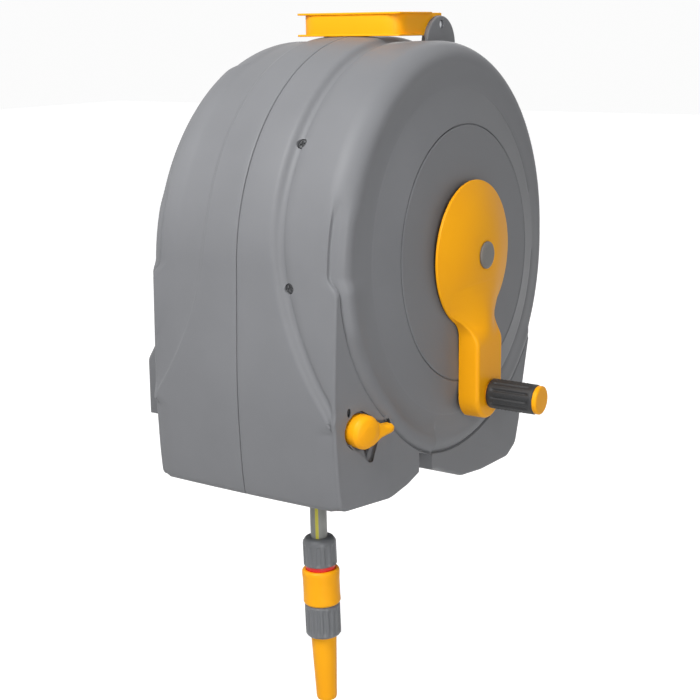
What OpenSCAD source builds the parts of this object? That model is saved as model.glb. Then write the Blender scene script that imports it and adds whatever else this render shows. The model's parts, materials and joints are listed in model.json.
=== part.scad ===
/* [Housing] */
// Gap between a drum flange and the rounded side walls
side_gap = 24; // [22:1:28]
// How far the middle band stands proud of the side walls
band_rise = 4.5; // [3:0.5:7]
// Depth of the channel beside the band, below the side walls
channel_depth = 1.6; // [0.8:0.2:2]
// Width of the channel
channel_w = 9; // [6:0.5:12]
// Half the width of the band over the top
band_half = 40; // [34:1:44]
// Extra half width of the band where it flares to the front corners
band_flare = 78; // [60:1:84]
// Half the width of the housing across the middle of the drum sides
side_x = 130; // [130:1:138]
// Lean of each drum side towards the top, in degrees
side_lean = 2; // [1:0.25:2.5]
// How far a drum side falls from its middle to the faint ring on it
ring_fall = 9; // [6:0.5:10]
// How far a drum side falls from its middle to its rounded rim
rim_fall = 12.5; // [10.5:0.5:14]
// Radius of the rounded rim of each drum side
rim_round = 18; // [14:1:20]
// Wall thickness of both shells
wall = 3; // [2.5:0.25:3.5]
// How far the front foot reaches below the rounded side walls
foot_gap = 7; // [5:1:16]
// Half width of the skirt at its front corners
skirt_front_x = 110; // [106:1:114]
// Half width of the rear foot
foot_x = 118; // [114:1:122]
// How far the rear foot reaches below the front foot
foot_drop = 34; // [20:1:40]
// Distance from the wall to the swivel pin
swivel_reach = 45; // [42:1:56]
// Distance from the swivel pin to the rear of the band
spine_gap = 21.5; // [20:0.5:26]

/* [Wall bracket] */
// Width of the wall plate
plate_w = 92; // [88:1:104]
// Height of the wall plate
plate_h = 254; // [250:1:280]
// Thickness of the wall plate
plate_t = 6; // [5:0.5:8]
// Spacing of the fixing holes across the plate
fix_w = 68; // [64:1:72]
// Spacing of the fixing holes up the plate
fix_h = 216; // [206:1:224]
// Diameter of the fixing holes
fix_d = 6.5; // [5:0.5:8]
// Diameter of the swivel pins
pin_d = 12; // [10:0.5:14]
// Height of each knuckle above and below the drum axis
knuckle_z = 95; // [85:1:95]
// Length of a knuckle
knuckle_h = 30; // [24:1:34]
// Thickness of a bracket lug
lug_t = 10; // [8:0.5:12]

/* [Drum and hose] */
// Outer diameter of the hose
hose_d = 17; // [16:0.25:17.5]
// Gap between neighbouring turns
turn_gap = 0.6; // [0.5:0.1:0.8]
// Width between the drum flanges
drum_w = 174; // [170:1:176]
// Outer radius of the drum barrel
barrel_r = 87.5; // [80:0.5:88]
// Wall thickness of the barrel
barrel_t = 4; // [3:0.5:5]
// Radius of the drum flanges
flange_r = 190; // [186:1:191]
// Thickness of a drum flange
flange_t = 3; // [2.5:0.25:3.25]
// Height of the ribs on the outside of a flange
flange_rib = 2; // [1:0.25:2]
// Radius of the drum journals
journal_r = 14; // [12:0.5:15]
// Radius of the water way in the spindle
bore_r = 6.5; // [5:0.25:7]

/* [Crank and gears] */
// Radius of the round disc of the crank
disc_r = 76; // [70:1:80]
// Height of the domed disc
disc_rise = 17.2; // [15:0.2:20]
// Distance from the crank axis to the grip axis
crank_throw = 145; // [135:1:150]
// Half width of the crank arm at the grip
arm_half = 27; // [24:1:30]
// Radius of the crank shaft
shaft_r = 8; // [7:0.5:9]
// Length of the grip sleeve
grip_len = 52; // [46:1:60]
// Radius of the grip sleeve
grip_r = 15.5; // [14:0.25:17]
// Radius of the grip axle
axle_r = 6; // [5:0.25:7]
// Tooth module of the crank gears
crank_module = 2; // [1.9:0.05:2.05]
// Tooth module of the traverse gears
traverse_module = 3; // [2.95:0.05:3.05]
// Width of every gear
gear_w = 7; // [5:0.5:7.5]

/* [Hose guide] */
// Place of the hose guide across the drum, from the seam
guide_x = 51; // [30:1:60]
// Height of the traverse screw below the drum axis
guide_drop = 163; // [160:1:165]
// Distance from the hose to the traverse screw
screw_gap = 28; // [27:0.5:30]
// Distance from the hose to the guide rod
rod_gap = 30; // [26:0.5:31]
// Radius of the traverse screw
screw_r = 8; // [7:0.25:8.5]
// Radius of the guide rod
rod_r = 5; // [4:0.25:6]
// Width of the guide carriage
carriage_w = 44; // [42:1:46]
// Radius of a guide roller
roller_r = 7; // [6:0.25:7.5]

/* [Hose end] */
// Length of hose from the drum to the connector nut
hose_drop = 271; // [262:1:300]
// Lean of the hanging hose end, in degrees
hang_tilt = 2; // [0:0.2:4]
// Radius of the hose nut
nut_r = 17; // [15:0.5:18]
// Length of the hose nut
nut_len = 29; // [26:1:34]
// Radius of the connector sleeve
sleeve_r = 19; // [18:0.5:21]
// Length of the connector sleeve
sleeve_len = 37; // [34:1:42]
// Travel of the connector sleeve
sleeve_travel = 4; // [2:0.5:5]
// Length of the nozzle base
base_len = 34; // [30:1:40]
// Length of the nozzle barrel
nozzle_len = 72; // [60:1:80]
// Radius of the nozzle barrel at its wide end
nozzle_r = 13; // [12:0.5:14.5]

/* [Park knob and handle] */
// Radius of the round end of the park knob
knob_r = 17; // [14:0.5:18]
// Length of the park knob's nose from its axis
knob_nose = 42; // [36:1:44]
// Height of the park knob
knob_h = 16; // [14:0.5:20]
// Half the width of the carry handle
handle_half = 62; // [60:1:70]
// Height of the carry handle's section
handle_h = 22; // [18:1:26]
// Distance from the handle's pins to its front bar
handle_reach = 88; // [80:1:96]
// Radius of each handle ear
ear_r = 30.5; // [28:0.5:33]

/* [Hidden] */

$fn = 64;
shell_grey = [0.47, 0.48, 0.49];
yellow = [1.0, 0.70, 0.06];
dark = [0.13, 0.14, 0.15];
steel = [0.72, 0.73, 0.75];
nylon = [0.86, 0.86, 0.82];
hose_grey = [0.62, 0.63, 0.62];
red = [0.75, 0.10, 0.08];

// Radial clearance of what turns or slides, of what is fixed, and the gap between faces
run = 0.07;
slip = 0.1;
seat = 0.3;
over = 1;

side_r = flange_r + side_gap;
band_r = side_r + band_rise;
axis_y = -(swivel_reach + spine_gap + band_r);
foot_z = -(side_r + foot_gap);
inner_x = side_x - wall;
front = axis_y - side_r;
rear = axis_y + side_r;

drum_half = drum_w / 2;
flange_out = drum_half + flange_t;
inner_layers = 4;
loop_rings = 24;
hose_r = hose_d / 2;
core_r = barrel_r + inner_layers * hose_d;
wind_sides = 6;
wind_r = (core_r + seat + hose_r * cos(180 / wind_sides)) / cos(180 / loop_rings);
pitch = hose_d + turn_gap;
turns = floor((guide_x + drum_half - hose_r - 1) / pitch);
hose_y = axis_y - wind_r;
sweep_r = norm([wind_r + hose_r, hose_d]);

screw_head = 2.5;
web_x = flange_out + flange_rib + 1.5 + screw_head;
web_t = 3;
web_out = web_x + web_t;
web_r = 150;
gear_x = web_out + 3;
gear_end = gear_x + gear_w;
gear2_x = gear_end + 2;
gear2_end = gear2_x + gear_w;
bush_r = journal_r + 5;

screw_y = hose_y + screw_gap;
rod_y = hose_y - rod_gap;
guide_z = -guide_drop;
journal2_r = screw_r - 2;
carriage_z0 = guide_z - 14;
carriage_z1 = guide_z + screw_r + 3.5;
roller_half = 10;
roller_z = carriage_z0 - 13;
roller_x = hose_r + roller_r + 0.5;
cheek_in = roller_half + 0.4;
cheek_t = 3;

drum_teeth = 36;
lay_teeth = 36;
pinion_teeth = 24;
crank_teeth = 48;
lay_distance = crank_module * (drum_teeth + lay_teeth) / 2;
lay_angle = 135;
lay_y = axis_y + lay_distance * cos(lay_angle);
lay_z = lay_distance * sin(lay_angle);
gear_pin_r = 5;

drive_teeth = 36;
idler_teeth = 48;
screw_teeth = 16;
drive_to_idler = traverse_module * (drive_teeth + idler_teeth) / 2;
idler_to_screw = traverse_module * (idler_teeth + screw_teeth) / 2;
screw_far = norm([screw_y - axis_y, guide_z]);
screw_angle = atan2(guide_z, screw_y - axis_y);
idler_bend = acos((drive_to_idler * drive_to_idler + screw_far * screw_far
    - idler_to_screw * idler_to_screw) / (2 * drive_to_idler * screw_far));
idler_angle = screw_angle + idler_bend;
idler_y = axis_y + drive_to_idler * cos(idler_angle);
idler_z = drive_to_idler * sin(idler_angle);
last_angle = atan2(guide_z - idler_z, screw_y - idler_y);

post_r = 6;
post_ring = 141;
right_posts = [40, 140, 256, 320];
left_posts = [50, 130, 190, 310];
cover_r = 131;
cover_hole_r = 122;
cover_seat = side_x - 1.4;
cover_top = side_x + 0.4;
ring_r = 168;
rim_start = side_r + 2 - rim_round;
rim_x = side_x - rim_fall - rim_round;
ledge_r = side_r - 5;

disc_x = cover_top + 4.2;
arm_x = disc_x + 4;
arm_out = disc_x + 23.4;
hub_r = 14;
hub_out = disc_x + disc_rise;
grip_x = arm_out + 2;
grip_end = grip_x + grip_len;
cap_t = 5;

skirt_front = front - 2;
skirt_run = 64;
skirt_side = side_x - 1;
skirt_slope = atan((skirt_side - skirt_front_x) / skirt_run);
knob_far = flange_r + 46.8;
knob_way = 217.45;
knob_y = axis_y + knob_far * cos(knob_way);
knob_z = knob_far * sin(knob_way);
knob_x = skirt_front_x + (knob_y - skirt_front) * tan(skirt_slope);
knob_sink = 5.5;
knob_shaft_r = 5;
brake_in = 33;
brake_arm = 38;
brake_pad = 5;
brake_rest = 110;

ear_y = axis_y + 57;
ear_z = band_r - 7.5;
ear_hole_z = ear_z + 19;
ear_t = 8;
ear_x = handle_half - 4;
handle_z = band_r + 0.6;
handle_front = ear_y - handle_reach + 9;
handle_pin_r = 4;
slot_half = drum_half - 1;

cowl_x = side_x + 27;
cowl_y0 = front + 36;
cowl_y1 = cowl_y0 + 52;
cowl_top = foot_z + 145;
cowl_bottom = foot_z + 51;
feed_y = cowl_y0 + 26;
feed_z = foot_z + 111;
feed_x = side_x + 10;
feed_r = 8.5;
feed_bore = 5;
feed_end = cowl_bottom + 6;
feed_far = norm([feed_y - axis_y, feed_z]);
feed_way = atan2(feed_z, feed_y - axis_y);
elbow_x = gear_end + 9;
spindle_end = elbow_x;
elbow_r = journal_r + 6;
elbow_reach = elbow_r + 6;
feed_in = elbow_x - 7;
pipe_r = 5;
pipe_bend = post_ring + 9;
pipe_tilt = atan((elbow_x - feed_in) / (feed_far - feed_r - pipe_bend));
pipe_gap = pipe_r * sin(pipe_tilt) + 0.1;
seal_places = [gear_end + 3, gear_end + 6];

notch_x = side_x - 36;
notch_front = axis_y - 82;
notch_back = axis_y - 54;

boss_r = 6.5;
screw_hole_r = 2;
screw_bar_r = 1.9;
head_r = 4.5;
boss_ring = side_r - 10.6;
// Place of each shell screw: depth, height and the direction of the rib that holds its boss
shell_bosses = concat([for (a = [62, 118, 8, -30])
    [axis_y + boss_ring * cos(a), boss_ring * sin(a), a]],
    [[front + 13, foot_z + 12, -90], [rear - 95, foot_z - foot_drop + 7.5, -90]]);
boss_len = 22;
shell_head_x = 98;

// Screws beside the band: place across, and direction in the side view
band_screw_spots = [[47, 144.8], [57, 182.4]];
band_head_r = 5;

spine_half = 20;
spine_t = 12;
spine_screws = [[12, 22], [-12, 22], [12, -22], [-12, -22]];
lug_half = 13;
plate_round = 9;

// Plan of half the carry handle: its front bar and the arm that runs inside an ear
half_handle = [[handle_half - 16, handle_front], [handle_half - 4, handle_front + 4],
    [handle_half, handle_front + 16], [ear_x - 0.4, ear_y - ear_r], [ear_x - 0.4, ear_y + 8],
    [ear_x - 7.4, ear_y + 8], [ear_x - 7.4, ear_y - ear_r], [handle_half - 13, handle_front + 20],
    [handle_half - 17, handle_front + 14]];

// Height at which the band starts to flare, and the height over which it does
flare_top = foot_z + 300;
flare_run = 222;
flare_end = foot_z + 72;

// Heights of the parts of the hose end below the top of its nut
ring_top = -nut_len - seat;
ring_h = 9;
sleeve_top = ring_top - sleeve_travel - seat;
sleeve_end = sleeve_top - sleeve_len;
base_top = sleeve_end - seat;
base_end = base_top - base_len;
barrel_top = base_end - seat;
barrel_end = barrel_top - nozzle_len;
core_out = 12;

// The hose between the drum and the guide bends as the guide travels, and starts clear of the drum
lead_z = -ceil(sqrt(pow(sweep_r + 0.6, 2) - pow(wind_r - hose_r, 2)));

// Route of the hanging hose, as steps across and heights chosen by hand
end_steps = [[0, -163], [0, -171], [0, -180], [0, -189], [0, -198], [0.1, -207], [0.1, -216],
    [0.2, -225], [0.2, -233], [0.3, -241], [0.4, -248], [0.4, -254], [0.5, -260], [0.6, -265]];
hang_x = guide_x + 0.8;

function unit(v) = v / norm(v);
function ring_point(r, a) = [axis_y + r * cos(a), r * sin(a)];

// Half section of a drum side, drawn in by g, as radius and place across
function side_section(g) = concat([[0, -20], [side_r + 20, -20], [side_r + 20, rim_x]],
    [for (i = [0:8]) let(q = rim_round - g, a = 90 * i / 8)
        [rim_start + q * cos(a), rim_x + q * sin(a)]],
    [[ring_r, side_x - ring_fall - g], [cover_r + 3, side_x - g], [0, side_x - g]]);

function gear_points(teeth, m) =
    let(r = teeth * m / 2, slack = 0.16 * m, wide = PI * m / 4 - slack / 2,
        half = wide / r * 180 / PI, tip = (wide - 0.36 * m) / (r + m) * 180 / PI,
        root = (wide + 0.36 * m) / (r - 1.2 * m) * 180 / PI)
    [for (i = [0:teeth - 1], s = [[r - 1.2 * m, -root], [r, -half], [r + 0.95 * m, -tip],
        [r + 0.95 * m, tip], [r, half], [r - 1.2 * m, root]])
        let(a = i * 360 / teeth + s[1]) [s[0] * cos(a), s[0] * sin(a)]];

// Turn of a gear so that its teeth fall between those of the gear before it
function mesh_turn(before_turn, before_teeth, teeth, direction) =
    direction + 180 - (360 / teeth) * (0.5 - (direction - before_turn) * before_teeth / 360);

lay_turn = mesh_turn(0, drum_teeth, lay_teeth, lay_angle);
crank_turn = mesh_turn(lay_turn, pinion_teeth, crank_teeth, lay_angle + 180);
idler_turn = mesh_turn(0, drive_teeth, idler_teeth, idler_angle);
screw_turn = mesh_turn(idler_turn, idler_teeth, screw_teeth, last_angle);

// Lays a flat drawing of depth (y) and height (z) across the width
module across(x0, x1) {
    translate([x0, 0, 0]) rotate([90, 0, 90]) linear_extrude(x1 - x0) children();
}

// Lays a flat drawing of width (x) and height (z) along the depth
module along(y0, y1) {
    translate([0, y1, 0]) rotate([90, 0, 0]) linear_extrude(y1 - y0) children();
}

// A round bar across the width
module bar_x(r, x0, x1, y, z) {
    translate([x0, y, z]) rotate([0, 90, 0]) cylinder(r = r, h = x1 - x0);
}

// A round bar along the depth
module bar_y(r, y0, y1, x, z) {
    translate([x, y1, z]) rotate([90, 0, 0]) cylinder(r = r, h = y1 - y0);
}

// A solid of revolution about a line across the width, from points of radius and place
module spin_x(points, y = axis_y, z = 0) {
    translate([0, y, z]) rotate([0, 90, 0]) rotate_extrude($fn = 96) polygon(points);
}

// Leans children with the drum side
module at_side() {
    translate([side_x, 0, 0]) rotate([0, -side_lean, 0]) translate([-side_x, 0, 0]) children();
}

// Copies children to the left side
module to_left() {
    mirror([1, 0, 0]) children();
}

// A radial bar in the side view, from r0 to r1 in direction a, at place x
module radial_bar(r, r0, r1, a, x) {
    translate([x, axis_y, 0]) rotate([a - 90, 0, 0]) translate([0, 0, r0]) cylinder(r = r, h = r1 - r0);
}

module gear_body(teeth, m, turn, x, y, z) {
    translate([x, y, z]) rotate([90, 0, 90]) rotate([0, 0, turn])
        linear_extrude(gear_w) polygon(gear_points(teeth, m));
}

// A gear that turns on, or is fixed to, a bar of the given bore
module gear(teeth, m, turn, bore, x, y, z) {
    difference() {
        gear_body(teeth, m, turn, x, y, z);
        bar_x(bore, x - over, x + gear_w + over, y, z);
    }
}

// Side outline of the lower housing, p proud of the side walls at the front and drawn in by g
module low_outline(p, g = 0) {
    polygon([[front + 1 - p + g, 0], [front - 5.5 - p + g, foot_z + 105],
        [front - 1 - p + g, foot_z + 27], [front + 3 - p + g, foot_z + g],
        [notch_back, foot_z + g], [axis_y - 19, foot_z - 0.75 * foot_drop + g],
        [axis_y + 60, foot_z - 0.95 * foot_drop + g], [rear - 92 - g / 2, foot_z - foot_drop + g],
        [rear - 72 - g, foot_z - 0.7 * foot_drop + g / 2], [rear - 63 - g, foot_z + 2],
        [rear - 54 - g, foot_z + 48], [rear - 41 - g, foot_z + 95], [axis_y + 60, 0]]);
}

function band_width(h) = band_half
    + (h < flare_top ? band_flare * pow((flare_top - h) / flare_run, 2.4) : 0);

// Front view of half the band, w wider than the band itself
module band_front(w) {
    steps = 19;
    polygon(concat([[-over, 260], [band_half + w, 260]],
        [for (i = [0:steps]) let(h = flare_top + (flare_end - flare_top) * i / steps)
            [band_width(h) + w, h]],
        [[band_width(flare_end) + w, -300], [-over, -300]]));
}

// Plan of half the lower housing in front of the notch and behind it, drawn in by g
module low_plan(g) {
    polygon([[-over, skirt_front - 12], [skirt_front_x - g - 2, skirt_front - 12],
        [skirt_front_x - g, skirt_front], [skirt_side - g, skirt_front + skirt_run],
        [skirt_side - g, notch_front - g], [notch_x - g, notch_front - g],
        [notch_x - g, notch_back + g], [foot_x - g, notch_back + g], [foot_x - g, axis_y + 240],
        [-over, axis_y + 240]]);
}

module side_outline(r, p, g = 0) {
    translate([axis_y, 0]) circle(r = r, $fn = 180);
    low_outline(p, g);
}

// Half of the housing without its band, drawn in by g: the drum side, and the skirt outside it
module half_body(g) {
    intersection() {
        bar_x(side_r - g, -over - g, side_x + 20, axis_y, 0);
        at_side() spin_x(side_section(g));
    }
    difference() {
        intersection() {
            across(-over - g, side_x) low_outline(0, g);
            translate([0, 0, -300]) linear_extrude(300) low_plan(g);
        }
        at_side() bar_x(ledge_r + g, rim_x + 8, side_x + 20, axis_y, 0);
    }
}

module outer_body() {
    half_body(0);
}

// The raised band, and the hollow behind it
module band_body() {
    intersection() {
        across(-over, side_x - 4) side_outline(band_r, band_rise);
        along(axis_y - 240, axis_y + 240) band_front(0);
    }
}

module band_inside() {
    intersection() {
        across(-2 * over, side_x - 4) side_outline(band_r - wall, band_rise, wall);
        along(axis_y - 240, axis_y + 240) band_front(-wall);
    }
}

// The channel beside the band
module channel() {
    intersection() {
        difference() {
            across(-over, side_x - 6) side_outline(band_r + 6, band_rise + 6);
            across(-2 * over, side_x) translate([axis_y, 0])
                circle(r = side_r - channel_depth, $fn = 180);
            across(-2 * over, side_x) low_outline(-channel_depth);
        }
        along(axis_y - 240, axis_y + 240) difference() {
            band_front(channel_w);
            band_front(0);
            translate([-2, -300]) square([200, 300 + flare_end]);
        }
    }
}

// A boss for a shell screw, with the rib that ties it to the wall
module boss(p, x0, x1) {
    bar_x(boss_r, x0, x1, p[0], p[1]);
    translate([x0 + (x1 - x0) * 0.4, p[0], p[1]]) rotate([p[2], 0, 0])
        translate([0, 0, -1.2]) cube([(x1 - x0) * 0.2, 2 * boss_r, 2.4]);
}

module shell_half(posts, boss_end) {
    difference() {
        union() {
            difference() {
                union() {
                    outer_body();
                    band_body();
                    ear();
                }
                half_body(wall);
                band_inside();
                channel();
                translate([-60, axis_y - 260, -300]) cube([60, 560, 600]);
            }
            intersection() {
                union() {
                    for (p = shell_bosses) boss(p, 0, boss_end);
                    for (a = posts) let(p = ring_point(post_ring, a))
                        bar_x(post_r, web_out, side_x - 1, p[0], p[1]);
                }
                union() {
                    outer_body();
                    band_body();
                }
            }
            for (s = spine_screws) if (s[0] > 0)
                radial_bar(boss_r, band_r - 12, band_r - 1, s[1], s[0]);
        }
        bar_x(handle_pin_r + slip, ear_x - over, ear_x + ear_t + over, ear_y, ear_hole_z);
        for (a = posts) let(p = ring_point(post_ring, a))
            bar_x(screw_hole_r, web_x, web_out + 14, p[0], p[1]);
        for (s = spine_screws) if (s[0] > 0)
            radial_bar(screw_hole_r, band_r - 11, band_r + over, s[1], s[0]);
        translate([-over, hose_y - 14, foot_z - 4]) cube([slot_half + over, 28, 12]);
    }
}

module ear() {
    intersection() {
        bar_x(ear_r, ear_x, ear_x + ear_t, ear_y, ear_z);
        translate([0, ear_y - 50, 190]) cube([100, 100, 100]);
    }
}

// Draws in the frame of the park knob, whose own width runs square to the skirt
module at_knob() {
    translate([knob_x, knob_y, knob_z]) rotate([0, 0, -skirt_slope]) children();
}

// Side view of the park knob's nose, g larger
module knob_nose_outline(g) {
    polygon([[-2, -knob_r - g], [knob_nose * 0.55, -11 - g], [knob_nose + g, -7 - g],
        [knob_nose + g + 2, -2], [knob_nose - 3 + g, 2 + g], [knob_nose * 0.5, 8 + g],
        [0, knob_r + g]]);
}

module knob_pocket(g) {
    circle(r = knob_r + 3 + g);
    knob_nose_outline(3 + g);
    polygon([[-12 - g, -14], [22 + g, -12], [19 + g, -38 - g], [14 - g, -38 - g]]);
}

module knob_housing() {
    intersection() {
        at_knob() across(-knob_sink - wall, 30) knob_pocket(wall);
        outer_body();
    }
    at_knob() bar_x(9, -knob_sink - 9, -knob_sink - 1, 0, 0);
}

module right_shell() {
    color(shell_grey) difference() {
        union() {
            shell_half(right_posts, boss_len);
            knob_housing();
            for (s = band_screw_spots)
                radial_bar(7.5, side_r - 11, side_r - channel_depth - 0.4, s[1], s[0]);
        }
        at_knob() across(-knob_sink, 40) knob_pocket(0);
        at_knob() bar_x(knob_shaft_r + run, -30, 0, 0, 0);
        for (p = shell_bosses) bar_x(screw_hole_r, -over, boss_len - 2, p[0], p[1]);
        at_side() bar_x(cover_hole_r, inner_x - over, side_x + over, axis_y, 0);
        at_side() bar_x(cover_r + 0.6, cover_seat, side_x + over, axis_y, 0);
        for (s = band_screw_spots) {
            radial_bar(band_head_r + 0.4, side_r - 4.6, side_r + 20, s[1], s[0]);
            radial_bar(screw_hole_r, side_r - 10, side_r, s[1], s[0]);
        }
    }
}

// Front view of the water inlet cowl on the left side
module cowl_front(g) {
    cut = g > 0 ? 10 : 0;
    polygon([[cowl_x - 50, cowl_top + 8 - g], [cowl_x - 33, cowl_top - g],
        [cowl_x - 10 - g, cowl_top - 18 - g], [cowl_x - g, cowl_top - 34 - g],
        [cowl_x - g, cowl_bottom - cut], [cowl_x - 50, cowl_bottom - cut]]);
}

module left_shell() {
    color(shell_grey) to_left() difference() {
        union() {
            shell_half(left_posts, side_x);
            difference() {
                along(cowl_y0, cowl_y1) cowl_front(0);
                along(cowl_y0 + wall, cowl_y1 - wall) cowl_front(wall);
                outer_body();
            }
            bar_x(12, elbow_x + 8, side_x - 1, axis_y, 0);
        }
        for (p = shell_bosses) {
            bar_x(screw_hole_r + 0.2, -over, cowl_x, p[0], p[1]);
            bar_x(head_r + 0.4, shell_head_x, cowl_x, p[0], p[1]);
        }
        bar_x(feed_r + slip, gear_end, cowl_x - 12, feed_y, feed_z);
    }
}

module shell_screws() {
    color(steel) {
        for (p = shell_bosses) {
            bar_x(screw_bar_r, -shell_head_x - 1, boss_len - 4, p[0], p[1]);
            bar_x(head_r, -shell_head_x - 3, -shell_head_x, p[0], p[1]);
        }
        for (s = spine_screws) {
            radial_bar(screw_bar_r, band_r - 9, band_r + spine_t - 2, s[1], s[0]);
            radial_bar(head_r, band_r + spine_t - 3, band_r + spine_t, s[1], s[0]);
        }
    }
}

module band_screws() {
    color(dark) for (s = band_screw_spots) {
        radial_bar(band_head_r, side_r - 4.6, side_r - 2.2, s[1], s[0]);
        radial_bar(screw_bar_r, side_r - 9, side_r - 3, s[1], s[0]);
    }
}

module drive_cover() {
    color(shell_grey) difference() {
        union() {
            at_side() bar_x(cover_r, cover_seat, cover_top, axis_y, 0);
            at_side() bar_x(cover_hole_r - slip, inner_x, cover_seat + 0.1, axis_y, 0);
            bar_x(shaft_r + 7, gear2_end + 1, cover_seat, axis_y, 0);
        }
        at_side() difference() {
            bar_x(cover_hole_r - 4, inner_x - over, inner_x + 1.2, axis_y, 0);
            bar_x(shaft_r + 10, inner_x - 2 * over, inner_x + 2, axis_y, 0);
        }
        bar_x(shaft_r + run, gear2_end, cover_top + over, axis_y, 0);
    }
}

// Side view of a plate inside the housing
module web_outline() {
    translate([axis_y, 0]) circle(r = web_r);
    translate([axis_y, 0]) rotate(screw_angle) translate([100, -14]) square([screw_far - 100, 28]);
    translate([screw_y, guide_z]) circle(r = 14);
    translate([rod_y, guide_z - 11]) square([screw_y - rod_y, 22]);
    translate([rod_y, guide_z]) circle(r = 11);
}

module web(posts) {
    difference() {
        across(web_x, web_out) web_outline();
        bar_x(bush_r + slip, web_x - over, web_out + over, axis_y, 0);
        bar_x(journal2_r + run, web_x - over, web_out + over, screw_y, guide_z);
        bar_x(rod_r + slip, web_x - over, web_out + over, rod_y, guide_z);
        for (a = posts) let(p = ring_point(post_ring, a))
            bar_x(screw_hole_r + 0.2, web_x - over, web_out + over, p[0], p[1]);
        children();
    }
}

module gear_plate() {
    color(dark) web(right_posts)
        bar_x(gear_pin_r + slip, web_x - over, web_out + over, lay_y, lay_z);
}

module inlet_plate() {
    color(dark) to_left() web(left_posts)
        bar_x(gear_pin_r + slip, web_x - over, web_out + over, idler_y, idler_z);
}

module plate_screw(a) {
    p = ring_point(post_ring, a);
    bar_x(screw_bar_r, web_x - 1, web_out + 10, p[0], p[1]);
    bar_x(head_r, web_x - screw_head, web_x, p[0], p[1]);
}

module plate_screws() {
    color(steel) {
        for (a = right_posts) plate_screw(a);
        to_left() for (a = left_posts) plate_screw(a);
    }
}

module bearing() {
    difference() {
        union() {
            bar_x(bush_r, web_x - 2, web_out + 1, axis_y, 0);
            bar_x(bush_r + 3, web_out, web_out + 2, axis_y, 0);
        }
        bar_x(journal_r + run, web_x - 3, web_out + 3, axis_y, 0);
    }
}

module right_bearing() {
    color(nylon) bearing();
}

module left_bearing() {
    color(nylon) to_left() bearing();
}

module gear_pin(length, y, z) {
    bar_x(gear_pin_r, web_x - 1, length, y, z);
    bar_x(gear_pin_r + 3, web_x - screw_head, web_x, y, z);
}

module gear_pins() {
    color(steel) {
        gear_pin(gear2_end + 3, lay_y, lay_z);
        to_left() gear_pin(gear_end + 1.5, idler_y, idler_z);
    }
}

module guide_rod() {
    color(steel) bar_x(rod_r, -web_out, web_out, rod_y, guide_z);
}

// Draws from the spindle's end towards the water inlet
module at_elbow() {
    translate([elbow_x, axis_y, 0]) rotate([feed_way - 90, 0, 0]) children();
}

// Bend that passes the water from the feed pipe to the spindle
module inlet_elbow() {
    color(dark) to_left() difference() {
        union() {
            bar_x(elbow_r, gear_end + 1.5, elbow_x + 8, axis_y, 0);
            at_elbow() cylinder(r = 8, h = elbow_reach);
        }
        bar_x(journal_r + run, gear_end, elbow_x + 0.4, axis_y, 0);
        bar_x(bore_r, gear_end, elbow_x + 5, axis_y, 0);
        at_elbow() cylinder(r = pipe_r - 1.5, h = elbow_reach + over);
    }
}

// Way of the water from the elbow to the inlet, bent in where the drum side falls to its rim
module pipe_way(r, more) {
    at_elbow() {
        translate([0, 0, elbow_reach + seat - more])
            cylinder(r = r, h = pipe_bend - elbow_reach - seat + more);
        translate([0, 0, pipe_bend]) sphere(r = r + 0.25);
        translate([0, 0, pipe_bend]) rotate([0, -pipe_tilt, 0])
            cylinder(r = r, h = (feed_far - feed_r - pipe_bend) / cos(pipe_tilt) - pipe_gap + more);
    }
}

module feed_pipe() {
    color(dark) to_left() difference() {
        pipe_way(pipe_r, 0);
        pipe_way(pipe_r - 1.5, over);
    }
}

module inlet_connector() {
    color(dark) to_left() difference() {
        union() {
            bar_x(feed_r, feed_in - 9, feed_x + feed_bore, feed_y, feed_z);
            translate([feed_x, feed_y, feed_end]) cylinder(r = feed_r, h = feed_z - feed_end);
            translate([feed_x, feed_y, feed_end + 24]) cylinder(r = feed_r + 1.8, h = 4);
        }
        bar_x(feed_bore, feed_in - 7, feed_x, feed_y, feed_z);
        translate([feed_x, feed_y, feed_end - over])
            cylinder(r = feed_bore, h = feed_z - feed_end + over);
    }
}

module handle_pins() {
    color(steel) for (s = [0, 1]) mirror([s, 0, 0])
        bar_x(handle_pin_r, ear_x - 7.6, ear_x + ear_t - 1.5, ear_y, ear_hole_z);
}

module wall_plate() {
    color(dark) difference() {
        union() {
            rotate([90, 0, 0]) linear_extrude(plate_t) offset(plate_round)
                square([plate_w - 2 * plate_round, plate_h - 2 * plate_round], center = true);
            for (k = [-knuckle_z, knuckle_z], s = [-1, 1])
                translate([0, 0, k + s * (knuckle_h / 2 + seat + lug_t / 2) - lug_t / 2])
                    linear_extrude(lug_t) {
                        translate([-lug_half, -swivel_reach]) square([2 * lug_half, swivel_reach]);
                        translate([0, -swivel_reach]) circle(r = lug_half);
                    }
        }
        for (x = [-fix_w / 2, fix_w / 2], z = [-fix_h / 2, fix_h / 2])
            bar_y(fix_d / 2, -plate_t - over, over, x, z);
        for (k = [-knuckle_z, knuckle_z]) translate([0, -swivel_reach, k - knuckle_h])
            cylinder(r = pin_d / 2 + slip, h = 2 * knuckle_h);
    }
}

module swivel_pins() {
    reach = knuckle_h / 2 + seat + lug_t;
    color(steel) for (k = [-knuckle_z, knuckle_z]) translate([0, -swivel_reach, k]) {
        translate([0, 0, -reach - 2]) cylinder(r = pin_d / 2, h = 2 * reach + 3);
        translate([0, 0, reach]) cylinder(r = pin_d / 2 + 3, h = 4);
    }
}

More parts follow.
